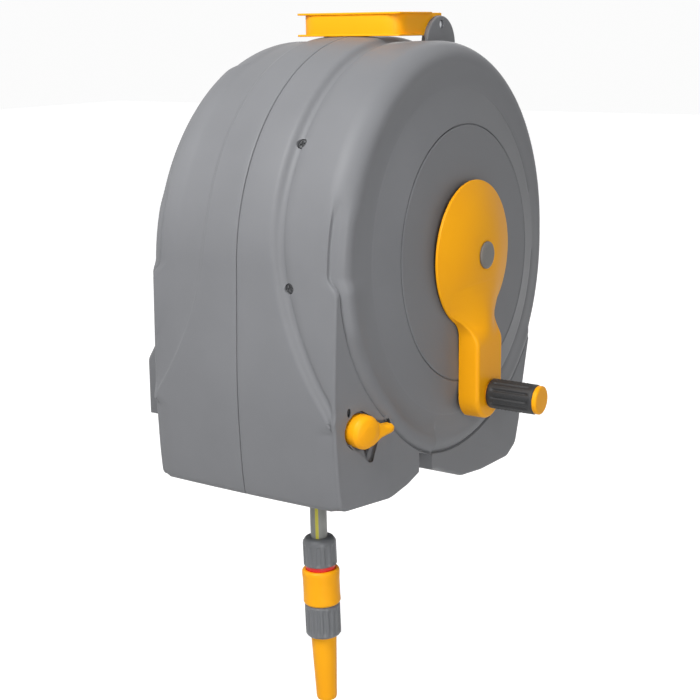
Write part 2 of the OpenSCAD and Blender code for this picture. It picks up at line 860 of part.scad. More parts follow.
module rear_spine() {
    color(shell_grey) difference() {
        union() {
            intersection() {
                bar_x(band_r + spine_t, -spine_half, spine_half, axis_y, 0);
                translate([-40, axis_y + 100, -118]) cube([80, 200, 236]);
            }
            for (k = [-knuckle_z, knuckle_z]) translate([0, 0, k - knuckle_h / 2]) {
                translate([0, -swivel_reach, 0]) cylinder(r = pin_d / 2 + 5, h = knuckle_h);
                translate([-9, -110, 0]) cube([18, 110 - swivel_reach, knuckle_h]);
            }
        }
        bar_x(band_r + 0.2, -60, 60, axis_y, 0);
        for (k = [-knuckle_z, knuckle_z]) translate([0, -swivel_reach, k - knuckle_h])
            cylinder(r = pin_d / 2 + run, h = 2 * knuckle_h);
        for (s = spine_screws) {
            radial_bar(screw_hole_r + 0.2, band_r - over, band_r + spine_t + 9, s[1], s[0]);
            radial_bar(head_r + 0.4, band_r + spine_t - 3, band_r + spine_t + 9, s[1], s[0]);
        }
    }
}

module drum_barrel() {
    color(dark) difference() {
        bar_x(barrel_r, -drum_half, drum_half, axis_y, 0);
        bar_x(barrel_r - barrel_t, -drum_half - over, drum_half + over, axis_y, 0);
        translate([-70, axis_y, 0]) cylinder(r = 9 + slip, h = barrel_r + over);
    }
}

module flange() {
    difference() {
        union() {
            bar_x(flange_r, drum_half, flange_out, axis_y, 0);
            bar_x(flange_r, drum_half, flange_out + flange_rib, axis_y, 0);
        }
        bar_x(journal_r + slip, drum_half - over, flange_out + 5, axis_y, 0);
        difference() {
            bar_x(flange_r - 4, flange_out, flange_out + 5, axis_y, 0);
            bar_x(barrel_r + 4, flange_out - over, flange_out + 6, axis_y, 0);
            for (a = [0:30:330]) translate([flange_out - over, axis_y, 0]) rotate([a, 0, 0])
                translate([0, -1.5, 0]) cube([10, 3, flange_r]);
        }
        bar_x(barrel_r, flange_out, flange_out + 5, axis_y, 0);
    }
}

module drum_flange_right() {
    color(dark) flange();
}

module drum_flange_left() {
    color(dark) to_left() flange();
}

module drum_spindle() {
    color(dark) to_left() difference() {
        union() {
            bar_x(journal_r, 58, spindle_end, axis_y, 0);
            bar_x(40, drum_half - 4, drum_half, axis_y, 0);
            translate([70, axis_y, 0]) cylinder(r = 9, h = barrel_r - 0.3);
        }
        bar_x(bore_r, 64, spindle_end + over, axis_y, 0);
        translate([70, axis_y, 0]) cylinder(r = 6, h = barrel_r + over);
        for (x = seal_places) difference() {
            bar_x(journal_r + over, x, x + 2, axis_y, 0);
            bar_x(journal_r - 1.5, x - over, x + 3, axis_y, 0);
        }
    }
}

module spindle_seals() {
    color(dark) to_left() for (x = seal_places) difference() {
        bar_x(journal_r, x + 0.1, x + 1.9, axis_y, 0);
        bar_x(journal_r - 1.4, x - over, x + 3, axis_y, 0);
    }
}

module drum_stub() {
    color(dark) difference() {
        union() {
            bar_x(journal_r, drum_half - 4, gear_end + 1, axis_y, 0);
            bar_x(40, drum_half - 4, drum_half, axis_y, 0);
        }
        bar_x(shaft_r + run, web_out + 1, gear_end + 2, axis_y, 0);
    }
}

module drum_gear() {
    color(nylon) gear(drum_teeth, crank_module, 0, journal_r + slip, gear_x, axis_y, 0);
}

module traverse_drive_gear() {
    color(nylon) to_left()
        gear(drive_teeth, traverse_module, 0, journal_r + slip, gear_x, axis_y, 0);
}

module hose_inner_layers() {
    color(hose_grey) difference() {
        bar_x(core_r, -drum_half + slip, drum_half - slip, axis_y, 0);
        bar_x(barrel_r + slip, -drum_half - over, drum_half + over, axis_y, 0);
    }
}

// One ring of a tube with its centre at p and its run along t
function tube_ring(p, t, r, sides) =
    let(u = unit([1, 0, 0] - t[0] * t), v = cross(t, u))
    [for (k = [0:sides - 1]) p + r * (cos(360 * k / sides) * u + sin(360 * k / sides) * v)];

function tube_run(points, i) = unit(points[min(i + 1, len(points) - 1)] - points[max(i - 1, 0)]);

// A round tube along a line of points
module tube(points, r, sides) {
    n = len(points);
    rings = [for (i = [0:n - 1]) each tube_ring(points[i], tube_run(points, i), r, sides)];
    walls = [for (i = [0:n - 2], k = [0:sides - 1])
        let(a = i * sides + k, b = i * sides + (k + 1) % sides) each
        [[a, b + sides, b], [a, a + sides, b + sides]]];
    ends = [for (k = [1:sides - 2]) each [[0, k, k + 1],
        [(n - 1) * sides, (n - 1) * sides + k + 1, (n - 1) * sides + k]]];
    polyhedron(rings, concat(walls, ends));
}

// Turns of the outer layer, from the left flange to where the hose leaves the drum
loop_points = [for (i = [0:turns * loop_rings])
    let(a = 180 + 360 * (i / loop_rings - turns))
    [guide_x + pitch * (i / loop_rings - turns), axis_y + wind_r * cos(a), wind_r * sin(a)]];
start_point = loop_points[0] + [0, 0, hose_d];
wound_points = concat([start_point], loop_points, [[guide_x, hose_y, -hose_d]]);
turn_gaps = [for (i = [0:len(loop_points) - 1], j = [i + loop_rings - 4:i + loop_rings + 4])
    if (j < len(loop_points)) norm(loop_points[i] - loop_points[j]) - hose_d];
echo(least_gap_between_turns = min(turn_gaps));

module hose_outer_layer() {
    color(hose_grey) tube(wound_points, hose_r, wind_sides);
}

module layshaft_gears() {
    color(nylon) difference() {
        union() {
            gear_body(lay_teeth, crank_module, lay_turn, gear_x, lay_y, lay_z);
            gear_body(pinion_teeth, crank_module, lay_turn, gear2_x, lay_y, lay_z);
            bar_x(gear_pin_r + 5, web_out + 0.5, gear2_end, lay_y, lay_z);
        }
        bar_x(gear_pin_r + run, web_out, gear2_end + over, lay_y, lay_z);
    }
}

module crank_shaft() {
    color(steel) difference() {
        bar_x(shaft_r, web_out + 1.5, hub_out - 6, axis_y, 0);
        bar_x(screw_hole_r + 0.6, hub_out - 26, hub_out, axis_y, 0);
    }
}

module crank_gear() {
    color(nylon) gear(crank_teeth, crank_module, crank_turn, shaft_r + slip, gear2_x, axis_y, 0);
}

// Outline of the crank's domed disc: g draws it in
function dome(g) = [for (i = [0:10]) let(t = i / 10)
    [hub_r + (disc_r - g - hub_r) * t, disc_x + 3 + (disc_rise - 3) * cos(90 * t) - g]];

module crank_arm() {
    color(yellow) difference() {
        union() {
            spin_x(concat([[0, disc_x], [disc_r, disc_x]], [for (i = [10:-1:0]) dome(0)[i]],
                [[0, hub_out]]));
            across(arm_x, arm_out) translate([axis_y, 0]) {
                translate([-arm_half, -crank_throw]) square([2 * arm_half, crank_throw - 20]);
                translate([0, -crank_throw]) circle(r = arm_half);
            }
            bar_x(axle_r + 6, arm_out - over, grip_x - seat, axis_y, -crank_throw);
        }
        difference() {
            spin_x(concat([[hub_r, disc_x - over], [disc_r - wall, disc_x - over]],
                [for (i = [10:-1:0]) dome(wall)[i]]));
            across(arm_x - over, arm_out + over) translate([axis_y - arm_half, -crank_throw])
                square([2 * arm_half, crank_throw - 20]);
        }
        across(disc_x - over, arm_out - wall) translate([axis_y, 0]) difference() {
            union() {
                translate([-arm_half + wall, -crank_throw])
                    square([2 * (arm_half - wall), crank_throw - hub_r - 8]);
                translate([0, -crank_throw]) circle(r = arm_half - wall);
            }
            translate([0, -crank_throw]) circle(r = axle_r + 5);
            translate([-1.5, -crank_throw]) square([3, crank_throw]);
        }
        bar_x(shaft_r + slip, disc_x - over, hub_out - 6, axis_y, 0);
        bar_x(screw_hole_r + 0.8, disc_x, hub_out + over, axis_y, 0);
        bar_x(7, hub_out - 3.5, hub_out + over, axis_y, 0);
        bar_x(axle_r + slip, disc_x, grip_x, axis_y, -crank_throw);
    }
}

module crank_screw() {
    color(steel) {
        bar_x(screw_hole_r + 0.5, hub_out - 24, hub_out - 3, axis_y, 0);
        bar_x(6, hub_out - 3.5, hub_out - 0.6, axis_y, 0);
    }
}

module crank_hub_cap() {
    color(dark) spin_x([[0, hub_out], [hub_r, hub_out], [hub_r, hub_out + 1.6],
        [hub_r - 3, hub_out + 3], [0, hub_out + 3.4]]);
}

module grip_axle() {
    color(steel) bar_x(axle_r, arm_x, grip_end + 2, axis_y, -crank_throw);
}

module grip_end_cap() {
    color(yellow) difference() {
        bar_x(grip_r - 0.7, grip_end + seat, grip_end + seat + cap_t, axis_y, -crank_throw);
        bar_x(axle_r + slip, grip_end, grip_end + 2.2, axis_y, -crank_throw);
    }
}

module grip_sleeve() {
    color(dark) difference() {
        bar_x(grip_r, grip_x, grip_end, axis_y, -crank_throw);
        bar_x(axle_r + run, grip_x - over, grip_end + over, axis_y, -crank_throw);
        for (a = [0:30:330]) translate([0, axis_y, -crank_throw]) rotate([a, 0, 0])
            bar_x(1.2, grip_x + 6, grip_end - 5, 0, grip_r + 0.5);
    }
}

module traverse_idler() {
    color(nylon) to_left() difference() {
        gear(idler_teeth, traverse_module, idler_turn, gear_pin_r + run, gear_x, idler_y, idler_z);
        for (a = [0:60:300]) bar_x(14, gear_x - over, gear_end + over,
            idler_y + 42 * cos(a), idler_z + 42 * sin(a));
    }
}

module traverse_gear() {
    color(nylon) to_left()
        gear(screw_teeth, traverse_module, screw_turn, journal2_r + slip, gear_x, screw_y, guide_z);
}

module traverse_screw() {
    color(steel) {
        bar_x(screw_r, -web_x + 1, web_x - 1, screw_y, guide_z);
        bar_x(journal2_r, -gear_end - 1, web_out + 1, screw_y, guide_z);
    }
}

module guide_carriage() {
    color(dark) difference() {
        union() {
            translate([guide_x - carriage_w / 2, rod_y - rod_r - 4, carriage_z0])
                cube([carriage_w, screw_y - rod_y + rod_r + screw_r + 8, carriage_z1 - carriage_z0]);
            for (s = [-1, 1]) along(hose_y + s * (cheek_in + cheek_t / 2) - cheek_t / 2,
                hose_y + s * (cheek_in + cheek_t / 2) + cheek_t / 2)
                translate([guide_x - carriage_w / 2, roller_z - 4])
                    square([carriage_w, carriage_z0 - roller_z + 5]);
        }
        bar_x(screw_r + run, guide_x - 60, guide_x + 60, screw_y, guide_z);
        bar_x(rod_r + run, guide_x - 60, guide_x + 60, rod_y, guide_z);
        translate([guide_x, hose_y, carriage_z0 - over])
            cylinder(r = hose_r + 0.4, h = carriage_z1 - carriage_z0 + 2 * over);
        for (s = [-1, 1]) bar_y(2 + slip, hose_y - 30, hose_y + 30, guide_x + s * roller_x, roller_z);
    }
}

module roller_pins() {
    color(steel) for (s = [-1, 1]) bar_y(2, hose_y - cheek_in - cheek_t - 0.5,
        hose_y + cheek_in + cheek_t + 0.5, guide_x + s * roller_x, roller_z);
}

module guide_roller(s) {
    color(nylon) difference() {
        bar_y(roller_r, hose_y - roller_half, hose_y + roller_half, guide_x + s * roller_x, roller_z);
        bar_y(2 + run, hose_y - 20, hose_y + 20, guide_x + s * roller_x, roller_z);
    }
}

module guide_roller_left() {
    guide_roller(-1);
}

module guide_roller_right() {
    guide_roller(1);
}

module hose_lead() {
    color(hose_grey) tube([for (i = [0:3])
        [guide_x, hose_y, lead_z + (guide_z - lead_z) * i / 3]], hose_r, 12);
}

module at_hang() {
    translate([hang_x, hose_y, -hose_drop]) rotate([0, -hang_tilt, 0]) children();
}

module hose_end() {
    color(hose_grey) tube(concat([[guide_x, hose_y, guide_z]],
        [for (s = end_steps) if (s[1] < guide_z - 1) [guide_x + s[0], hose_y, s[1]]],
        [[hang_x, hose_y, -hose_drop]]), hose_r, 12);
}

module turned(points) {
    rotate_extrude($fn = 72) polygon(points);
}

module hose_nut() {
    color(dark) at_hang() difference() {
        turned([[0, -nut_len], [nut_r, -nut_len], [nut_r, -3], [nut_r - 3, 0], [0, 0]]);
        translate([0, 0, -nut_len - over]) cylinder(r = core_out + slip, h = 16);
        translate([0, 0, -nut_len]) cylinder(r = 5, h = nut_len + over);
        for (a = [0:30:330]) rotate(a) translate([nut_r + 1, 0, -nut_len - over])
            cylinder(r = 2, h = nut_len - 5);
    }
}

module connector_ring() {
    color(red) at_hang() difference() {
        translate([0, 0, ring_top - ring_h]) cylinder(r = sleeve_r - 4, h = ring_h);
        translate([0, 0, ring_top - ring_h - over])
            cylinder(r = core_out + slip, h = ring_h + 2 * over);
    }
}

module connector_core() {
    color(dark) at_hang() difference() {
        translate([0, 0, sleeve_end - 0.2]) cylinder(r = core_out, h = -sleeve_end - nut_len + 14);
        translate([0, 0, sleeve_end - over]) cylinder(r = 5, h = -sleeve_end);
    }
}

module connector_sleeve() {
    color(yellow) at_hang() difference() {
        turned([[0, sleeve_end], [sleeve_r - 1.5, sleeve_end], [sleeve_r, sleeve_end + 2],
            [sleeve_r, sleeve_top - 2], [sleeve_r - 1.5, sleeve_top], [0, sleeve_top]]);
        translate([0, 0, sleeve_end - over]) cylinder(r = core_out + run, h = sleeve_len + 2 * over);
        translate([0, 0, ring_top - ring_h - sleeve_travel - 0.4])
            cylinder(r = sleeve_r - 3.7, h = ring_h + sleeve_travel + nut_len);
    }
}

module nozzle_base() {
    color(dark) at_hang() difference() {
        union() {
            turned([[0, base_end], [sleeve_r - 2.5, base_end], [sleeve_r - 1, base_end + 2],
                [sleeve_r - 1, base_top - 2], [sleeve_r - 2.5, base_top], [0, base_top]]);
            translate([0, 0, barrel_top - 20]) cylinder(r = 7, h = 22);
        }
        translate([0, 0, barrel_top - 21]) cylinder(r = 4, h = base_len + 40);
        for (a = [0:20:340]) rotate(a) translate([sleeve_r - 0.5, 0, base_end + 3])
            cylinder(r = 1.2, h = base_len - 6);
    }
}

module nozzle_barrel() {
    color(yellow) at_hang() difference() {
        turned([[0, barrel_end], [nozzle_r - 5.5, barrel_end], [nozzle_r - 3, barrel_end + 1.5],
            [nozzle_r - 2.4, barrel_end + 4], [nozzle_r, barrel_top - 2], [nozzle_r - 1, barrel_top],
            [0, barrel_top]]);
        translate([0, 0, barrel_top - 21]) cylinder(r = 7 + run, h = 22);
        translate([0, 0, barrel_end - over]) cylinder(r = 3, h = nozzle_len);
        translate([0, 0, barrel_end - over]) cylinder(r = 5.5, h = 5);
    }
}

module park_knob() {
    color(yellow) at_knob() difference() {
        union() {
            across(-knob_sink + 0.6, knob_h - knob_sink) circle(r = knob_r);
            across(0.6, knob_h - knob_sink) knob_nose_outline(0);
        }
        bar_x(knob_shaft_r + slip, -knob_sink, knob_h - knob_sink - 4, 0, 0);
    }
}

module knob_shaft() {
    color(steel) at_knob() bar_x(knob_shaft_r, -brake_in - 4, knob_h - knob_sink - 4.2, 0, 0);
}

module brake_shoe() {
    pad_y = brake_arm * cos(brake_rest);
    pad_z = brake_arm * sin(brake_rest);
    color(dark) at_knob() difference() {
        union() {
            bar_x(6.5, -brake_in - 4, -brake_in + 4, 0, 0);
            across(-brake_in - 2.5, -brake_in + 2.5) rotate(brake_rest)
                translate([5, -4]) square([brake_arm - 5, 8]);
            bar_x(brake_pad, -brake_in - 3.5, -brake_in + 3.5, pad_y, pad_z);
        }
        bar_x(knob_shaft_r + slip, -brake_in - 5, -brake_in + 5, 0, 0);
    }
}

module handle_plan() {
    n = len(half_handle);
    polygon(concat(half_handle, [for (i = [1:n]) [-half_handle[n - i][0], half_handle[n - i][1]]]));
}

module carry_handle() {
    color(yellow) difference() {
        translate([0, 0, handle_z]) linear_extrude(handle_h) handle_plan();
        translate([-handle_half + 6, handle_front - over, handle_z + wall])
            cube([2 * handle_half - 12, 8 + over, handle_h - 2 * wall]);
        for (s = [0, 1]) mirror([s, 0, 0]) {
            bar_x(handle_pin_r + run, ear_x - 8, ear_x, ear_y, ear_hole_z);
            translate([ear_x - 20, ear_y - 22, handle_z - over])
                cube([30, 40, ear_hole_z - handle_z - 8]);
        }
    }
}

wall_plate();
swivel_pins();
right_shell();
left_shell();
rear_spine();
shell_screws();
band_screws();
drive_cover();
gear_plate();
inlet_plate();
plate_screws();
right_bearing();
left_bearing();
gear_pins();
guide_rod();
inlet_elbow();
feed_pipe();
inlet_connector();
handle_pins();
drum_barrel();
drum_flange_left();
drum_flange_right();
drum_spindle();
spindle_seals();
drum_stub();
drum_gear();
traverse_drive_gear();
hose_inner_layers();
hose_outer_layer();
layshaft_gears();
crank_shaft();
crank_gear();
crank_arm();
crank_screw();
crank_hub_cap();
grip_axle();
grip_end_cap();
grip_sleeve();
traverse_idler();
traverse_screw();
traverse_gear();
guide_carriage();
roller_pins();
guide_roller_left();
guide_roller_right();
hose_lead();
hose_end();
hose_nut();
connector_ring();
connector_core();
connector_sleeve();
nozzle_base();
nozzle_barrel();
park_knob();
knob_shaft();
brake_shoe();
carry_handle();
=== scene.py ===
import json
import math

import bmesh
import bpy
import numpy as np
from mathutils import Matrix, Vector

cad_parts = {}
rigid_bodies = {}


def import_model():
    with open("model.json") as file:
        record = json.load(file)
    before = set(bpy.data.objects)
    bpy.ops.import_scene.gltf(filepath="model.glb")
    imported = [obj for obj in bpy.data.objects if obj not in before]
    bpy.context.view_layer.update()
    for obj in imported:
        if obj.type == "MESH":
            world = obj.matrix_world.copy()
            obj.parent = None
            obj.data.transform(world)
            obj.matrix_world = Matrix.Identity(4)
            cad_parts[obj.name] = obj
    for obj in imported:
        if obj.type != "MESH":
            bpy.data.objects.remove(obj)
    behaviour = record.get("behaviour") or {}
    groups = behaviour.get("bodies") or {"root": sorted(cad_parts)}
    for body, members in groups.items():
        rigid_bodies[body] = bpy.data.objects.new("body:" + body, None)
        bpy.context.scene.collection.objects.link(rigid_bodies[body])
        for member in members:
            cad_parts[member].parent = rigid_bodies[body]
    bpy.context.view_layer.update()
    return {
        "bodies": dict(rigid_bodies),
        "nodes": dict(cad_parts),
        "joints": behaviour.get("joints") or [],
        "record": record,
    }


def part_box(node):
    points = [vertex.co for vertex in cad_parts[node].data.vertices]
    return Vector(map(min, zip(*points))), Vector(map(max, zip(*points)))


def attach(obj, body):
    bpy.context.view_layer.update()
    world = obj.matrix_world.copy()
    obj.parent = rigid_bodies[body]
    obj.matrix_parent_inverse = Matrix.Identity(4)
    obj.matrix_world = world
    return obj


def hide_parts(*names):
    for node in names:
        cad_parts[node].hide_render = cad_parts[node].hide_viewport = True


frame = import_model()
scene = bpy.context.scene
scene.view_settings.view_transform = "Standard"

# Camera, fitted to the photograph's outline, with its place in metres.
azimuth, pitch, roll = [math.radians(a) for a in (33.56, 13.4, 0.73)]
camera_at = (0.788, -1.4986, 0.2267)
lens_mm, sensor_mm = 69.36, 36
ahead = Vector((-math.sin(azimuth) * math.cos(pitch), math.cos(azimuth) * math.cos(pitch),
                -math.sin(pitch)))
level = Vector((math.cos(azimuth), math.sin(azimuth), 0))
below = ahead.cross(level)
to_right = level * math.cos(roll) + below * math.sin(roll)
to_top = level * math.sin(roll) - below * math.cos(roll)
camera = bpy.data.objects.new("camera", bpy.data.cameras.new("camera"))
camera.data.lens = lens_mm
camera.data.sensor_width = sensor_mm
camera.data.clip_end = 50
turned = Matrix((to_right, to_top, -ahead)).transposed().to_4x4()
camera.matrix_world = Matrix.Translation(camera_at) @ turned
scene.collection.objects.link(camera)
scene.camera = camera


# Housing: two moulded halves of grey plastic, 3 mm thick, screwed together at the upright seam
# round the drum. Each is one skin drawn as sections round the drum's axis, thickened inwards.
# Lengths are millimetres in the CAD's frame, and side outlines (depth from the axis, height).
axis_y = -285.0
side_r = 214.0
ledge = 209.0
lean = math.tan(math.radians(2))
skin = 3.0


class Wire:
    """A socket of a node tree, with arithmetic."""

    def __init__(self, tree, socket=None):
        self.tree = tree
        self.socket = socket

    def node(self, kind, inputs=None, out=0, **settings):
        made = self.tree.nodes.new("ShaderNode" + kind)
        for key, value in settings.items():
            setattr(made, key, value)
        for key, value in (inputs or {}).items():
            if isinstance(value, Wire):
                self.tree.links.new(value.socket, made.inputs[key])
            else:
                made.inputs[key].default_value = value
        return Wire(self.tree, made.outputs[out])

    def math(self, operation, a, b=0.0, clamp=False):
        return self.node("Math", {0: a, 1: b}, operation=operation, use_clamp=clamp)

    def __add__(self, other):
        return self.math("ADD", self, other)

    def __sub__(self, other):
        return self.math("SUBTRACT", self, other)

    def __mul__(self, other):
        return self.math("MULTIPLY", self, other)

    def __truediv__(self, other):
        return self.math("DIVIDE", self, other)

    def __radd__(self, other):
        return self.math("ADD", other, self)

    def __rsub__(self, other):
        return self.math("SUBTRACT", other, self)

    def __rmul__(self, other):
        return self.math("MULTIPLY", other, self)

    def __rtruediv__(self, other):
        return self.math("DIVIDE", other, self)

    def between(self, low, high):
        return self.math("MULTIPLY", self - low, 1 / (high - low), clamp=True)

    def mix(self, a, b):
        return self.node("Mix", {"Factor": self, 6: a, 7: b}, out=2, data_type="RGBA")


def rgb(code):
    parts = [int(code[i:i + 2], 16) / 255 for i in (0, 2, 4)]
    return tuple([p / 12.92 if p <= 0.04045 else ((p + 0.055) / 1.055) ** 2.4 for p in parts] + [1])


def surface(name):
    material = bpy.data.materials.new(name)
    material.use_nodes = True
    tree = material.node_tree
    return material, Wire(tree), tree.nodes["Principled BSDF"]


def plastic(name, dark, light, rough=(0.42, 0.55), grain=0.06, coarse=9, shine=0.5):
    """Moulded plastic: slow shade changes, fine grain in the surface and a little dust."""
    material, tree, shader = surface(name)
    spot = tree.node("TexCoord", out=3)
    slow = tree.node("TexNoise", {"Vector": spot, "Scale": coarse, "Detail": 3.0})
    fine = tree.node("TexNoise", {"Vector": spot, "Scale": 900.0, "Detail": 2.0})
    tone = slow.between(0.3, 0.7) * 0.8 + fine * 0.2
    link = tree.tree.links.new
    link(tone.mix(rgb(dark), rgb(light)).socket, shader.inputs["Base Color"])
    link((slow.between(0.3, 0.7) * (rough[1] - rough[0]) + rough[0]).socket,
         shader.inputs["Roughness"])
    shader.inputs["Specular IOR Level"].default_value = shine
    bump = tree.node("Bump", {"Height": fine, "Strength": grain, "Distance": 0.0004})
    link(bump.socket, shader.inputs["Normal"])
    return material


housing_grey = plastic("housing_grey", "737477", "7b7c7f", (0.46, 0.56), shine=0.28)


def fade(value, start, stop):
    """Rises softly from 0 at start to 1 at stop."""
    t = np.clip((value - start) / (stop - start), 0, 1)
    return t * t * (3 - 2 * t)


def mesh(name, verts, faces, material, sharp=35):
    data = bpy.data.meshes.new(name)
    data.from_pydata((np.asarray(verts, float).reshape(-1, 3) / 1000).tolist(), [], faces)
    work = bmesh.new()
    work.from_mesh(data)
    bmesh.ops.remove_doubles(work, verts=work.verts, dist=1e-6)
    bmesh.ops.dissolve_degenerate(work, edges=work.edges, dist=1e-7)
    bmesh.ops.recalc_face_normals(work, faces=work.faces)
    work.to_mesh(data)
    work.free()
    data.materials.append(material)
    data.shade_smooth()
    data.set_sharp_from_angle(angle=math.radians(sharp))
    made = bpy.data.objects.new(name, data)
    scene.collection.objects.link(made)
    return made


def grid(rows, columns, loop_rows=False, loop_columns=False):
    """Faces of a grid of points, closed in either direction if asked."""
    last_row = rows if loop_rows else rows - 1
    last_column = columns if loop_columns else columns - 1
    return [(i * columns + j, i * columns + (j + 1) % columns,
             (i + 1) % rows * columns + (j + 1) % columns, (i + 1) % rows * columns + j)
            for i in range(last_row) for j in range(last_column)]


def closed_out(made):
    """Turns the faces of a closed piece outwards."""
    work = bmesh.new()
    work.from_mesh(made.data)
    bmesh.ops.recalc_face_normals(work, faces=work.faces)
    work.to_mesh(made.data)
    work.free()
    return made


def baked(made):
    """The mesh of a piece as its modifiers leave it."""
    bpy.context.view_layer.update()
    graph = bpy.context.evaluated_depsgraph_get()
    data = bpy.data.meshes.new_from_object(made.evaluated_get(graph))
    made.modifiers.clear()
    return data


def modified(made, kind, **settings):
    """Applies one modifier to a piece."""
    modifier = made.modifiers.new(kind, kind)
    for key, value in settings.items():
        setattr(modifier, key, value)
    first = made.data.materials[0]
    made.data = baked(made)
    for number, material in enumerate(made.data.materials):
        made.data.materials[number] = material or first
    return made


def rounded(points, radius, steps=4, closed=False):
    """A polyline with its corners rounded; radius is one number or one for each corner."""
    points = [np.asarray(p, float) for p in points]
    count = len(points)
    radii = radius if hasattr(radius, "__len__") else [radius] * count
    out = []
    for i, p in enumerate(points):
        if (not closed and i in (0, count - 1)) or radii[i] <= 0:
            out.append(p)
            continue
        a, b = points[i - 1] - p, points[(i + 1) % count] - p
        la, lb = np.linalg.norm(a), np.linalg.norm(b)
        half = math.acos(max(-1, min(1, float(a @ b / (la * lb))))) / 2
        run = min(radii[i] / max(math.tan(half), 1e-6), 0.49 * la, 0.49 * lb)
        start, end = p + a / la * run, p + b / lb * run
        out += [(1 - t) ** 2 * start + 2 * t * (1 - t) * p + t * t * end
                for t in np.linspace(0, 1, steps + 1)]
    return np.array(out)


def outward(loop):
    """Unit normals of a closed loop of points that runs counterclockwise."""
    ahead = np.roll(loop, -1, 0) - loop
    ahead /= np.maximum(np.linalg.norm(ahead, axis=1, keepdims=True), 1e-9)
    mean = ahead + np.roll(ahead, 1, 0)
    mean /= np.maximum(np.linalg.norm(mean, axis=1, keepdims=True), 1e-9)
    return np.stack([mean[:, 1], -mean[:, 0]], 1)


low_line = [(-213, 0), (-219.5, -116), (-215, -194), (-211, -221), (-146, -221), (-118, -217),
            (-97, -211), (-52, -221), (-36, -225.5), (-19, -233.8), (14, -247.5), (60, -253.3),
            (122, -255), (142, -244.8), (151, -219), (160, -173), (173, -126)]
low_round = [0, 900, 700, 9, 60, 40, 8, 8, 20, 30, 40, 60, 16, 14, 30, 40, 0]
round_from, round_to = -36.07, 177.0
floor_z = -221
hose_slot = (-178.6, -150.6)


def side_loop():
    """The housing's outline from the side, with how far each point belongs to the skirt and
    how much of the band's rise it takes."""
    arc = np.linspace(math.radians(round_from), math.radians(round_to), 270)
    circle = np.stack([side_r * np.cos(arc), side_r * np.sin(arc)], 1)
    line = rounded([tuple(circle[-1])] + low_line[1:], low_round, steps=8)
    dense = [line[0]]
    for p, q in zip(line[:-1], line[1:]):
        parts = max(1, int(np.linalg.norm(q - p) / 3.4))
        dense += [p + (q - p) * k / parts for k in range(1, parts + 1)]
    dense = np.array(dense)
    for edge in hose_slot:
        flat = np.where((abs(dense[:, 1] - floor_z) < 0.6) & (abs(dense[:, 0]) > 120))[0]
        dense[flat[np.argmin(abs(dense[flat, 0] - edge))], 0] = edge
    loop = np.concatenate([circle, dense[1:-1]])
    angle, low = np.degrees(arc), slice(len(circle), None)
    down = np.degrees(np.arctan2(loop[:, 1], loop[:, 0])) % 360
    skirt = np.zeros(len(loop))
    skirt[low] = 1
    front_part = (down > 170) & (down < 190)
    skirt[front_part] = np.clip((down[front_part] - 178.5) / 4.5, 0, 1)
    skirt[:len(circle)] = np.clip((-33 - angle) / 3, 0, 1)
    rise = np.clip(-outward(loop)[:, 0] * 1.4 - 0.3, 0, 1)
    rise[:len(circle)] = np.clip((angle + 36) / 8, 0, 1)
    rise[low][loop[low, 0] > -100] = 0
    return loop, skirt, rise


def side_plan(u):
    """How far across the skirt's side reaches at a depth from the drum axis: a front foot
    that narrows forwards, then the rear foot."""
    front_foot, rear_foot = 129.0, 118.0
    narrowed = front_foot - 19 * np.clip((-152 - u) / 64, 0, 1.0)
    return np.where(u < -68, narrowed, rear_foot)


def band_edge(z):
    """Half the width of the raised band at a height: even above, flaring down the front."""
    return 40 + 78 * np.clip((79 - np.maximum(z, -149)) / 222, 0, 1) ** 2.4


# Edge of the band as (past the band's edge, rise): a lip on the right half, a soft one on the left.
lip = np.array([(9.8, 0), (9.35, -0.25), (9.1, -0.9), (8.9, -1.5), (8.3, -1.75), (5.2, -1.7),
                (3.4, -1.4), (2.0, -0.6), (0.8, 0.7), (-0.4, 2.1), (-1.8, 3.3), (-3.6, 4.2),
                (-5.8, 4.5)])
lip_soft = np.array([(36, 0), (31, 0.15), (26, 0.4), (20, 0.8), (14, 1.3), (8.5, 1.8), (4, 2.25),
                     (1.8, 2.6), (0.6, 3.1), (-0.5, 3.8), (-1.7, 4.3), (-3.2, 4.5),
                     (-5.8, 4.55)])
# Side of the drum housing as (radius, across), with the ring groove's depth along it, and the
# rim that follows: plain, with a kink high on the left half, or with a bead at the front.
face_line = np.array([(134.5, 129.6), (140, 128.2), (150, 125.6), (160, 122.9), (166.4, 121.2),
                      (167.3, 121.0), (167.9, 120.8), (168.6, 120.6), (169.4, 120.4), (176, 119.9),
                      (183, 118.9)])
ring_dip = np.array([0, 0, 0, 0, 0, 0.8, 1.1, 0.5, 0, 0, 0])
quarter = np.linspace(0, math.pi / 2, 34)
plain_rim = np.stack([190 + 24 * np.sin(quarter), 92 + 26 * np.cos(quarter)], 1)
kinked_rim = np.stack([188 + 26 * np.sin(quarter), 82 + 36 * np.cos(quarter)], 1)
bead = rounded([(190, 118), (199.5, 117.3), (205.6, 113.6), (208.6, 107.5), (209.4, 100.6),
                (213.4, 99.6), (214, 92)], [0, 14, 9, 10, 2.5, 1.4, 0], steps=5)


def resampled(line, count):
    """A line of points redrawn with another count, even along its numbering."""
    old, new = np.linspace(0, 1, len(line)), np.linspace(0, 1, count)
    return np.column_stack([np.interp(new, old, line[:, 0]), np.interp(new, old, line[:, 1])])


bead_rim = resampled(bead, len(quarter))


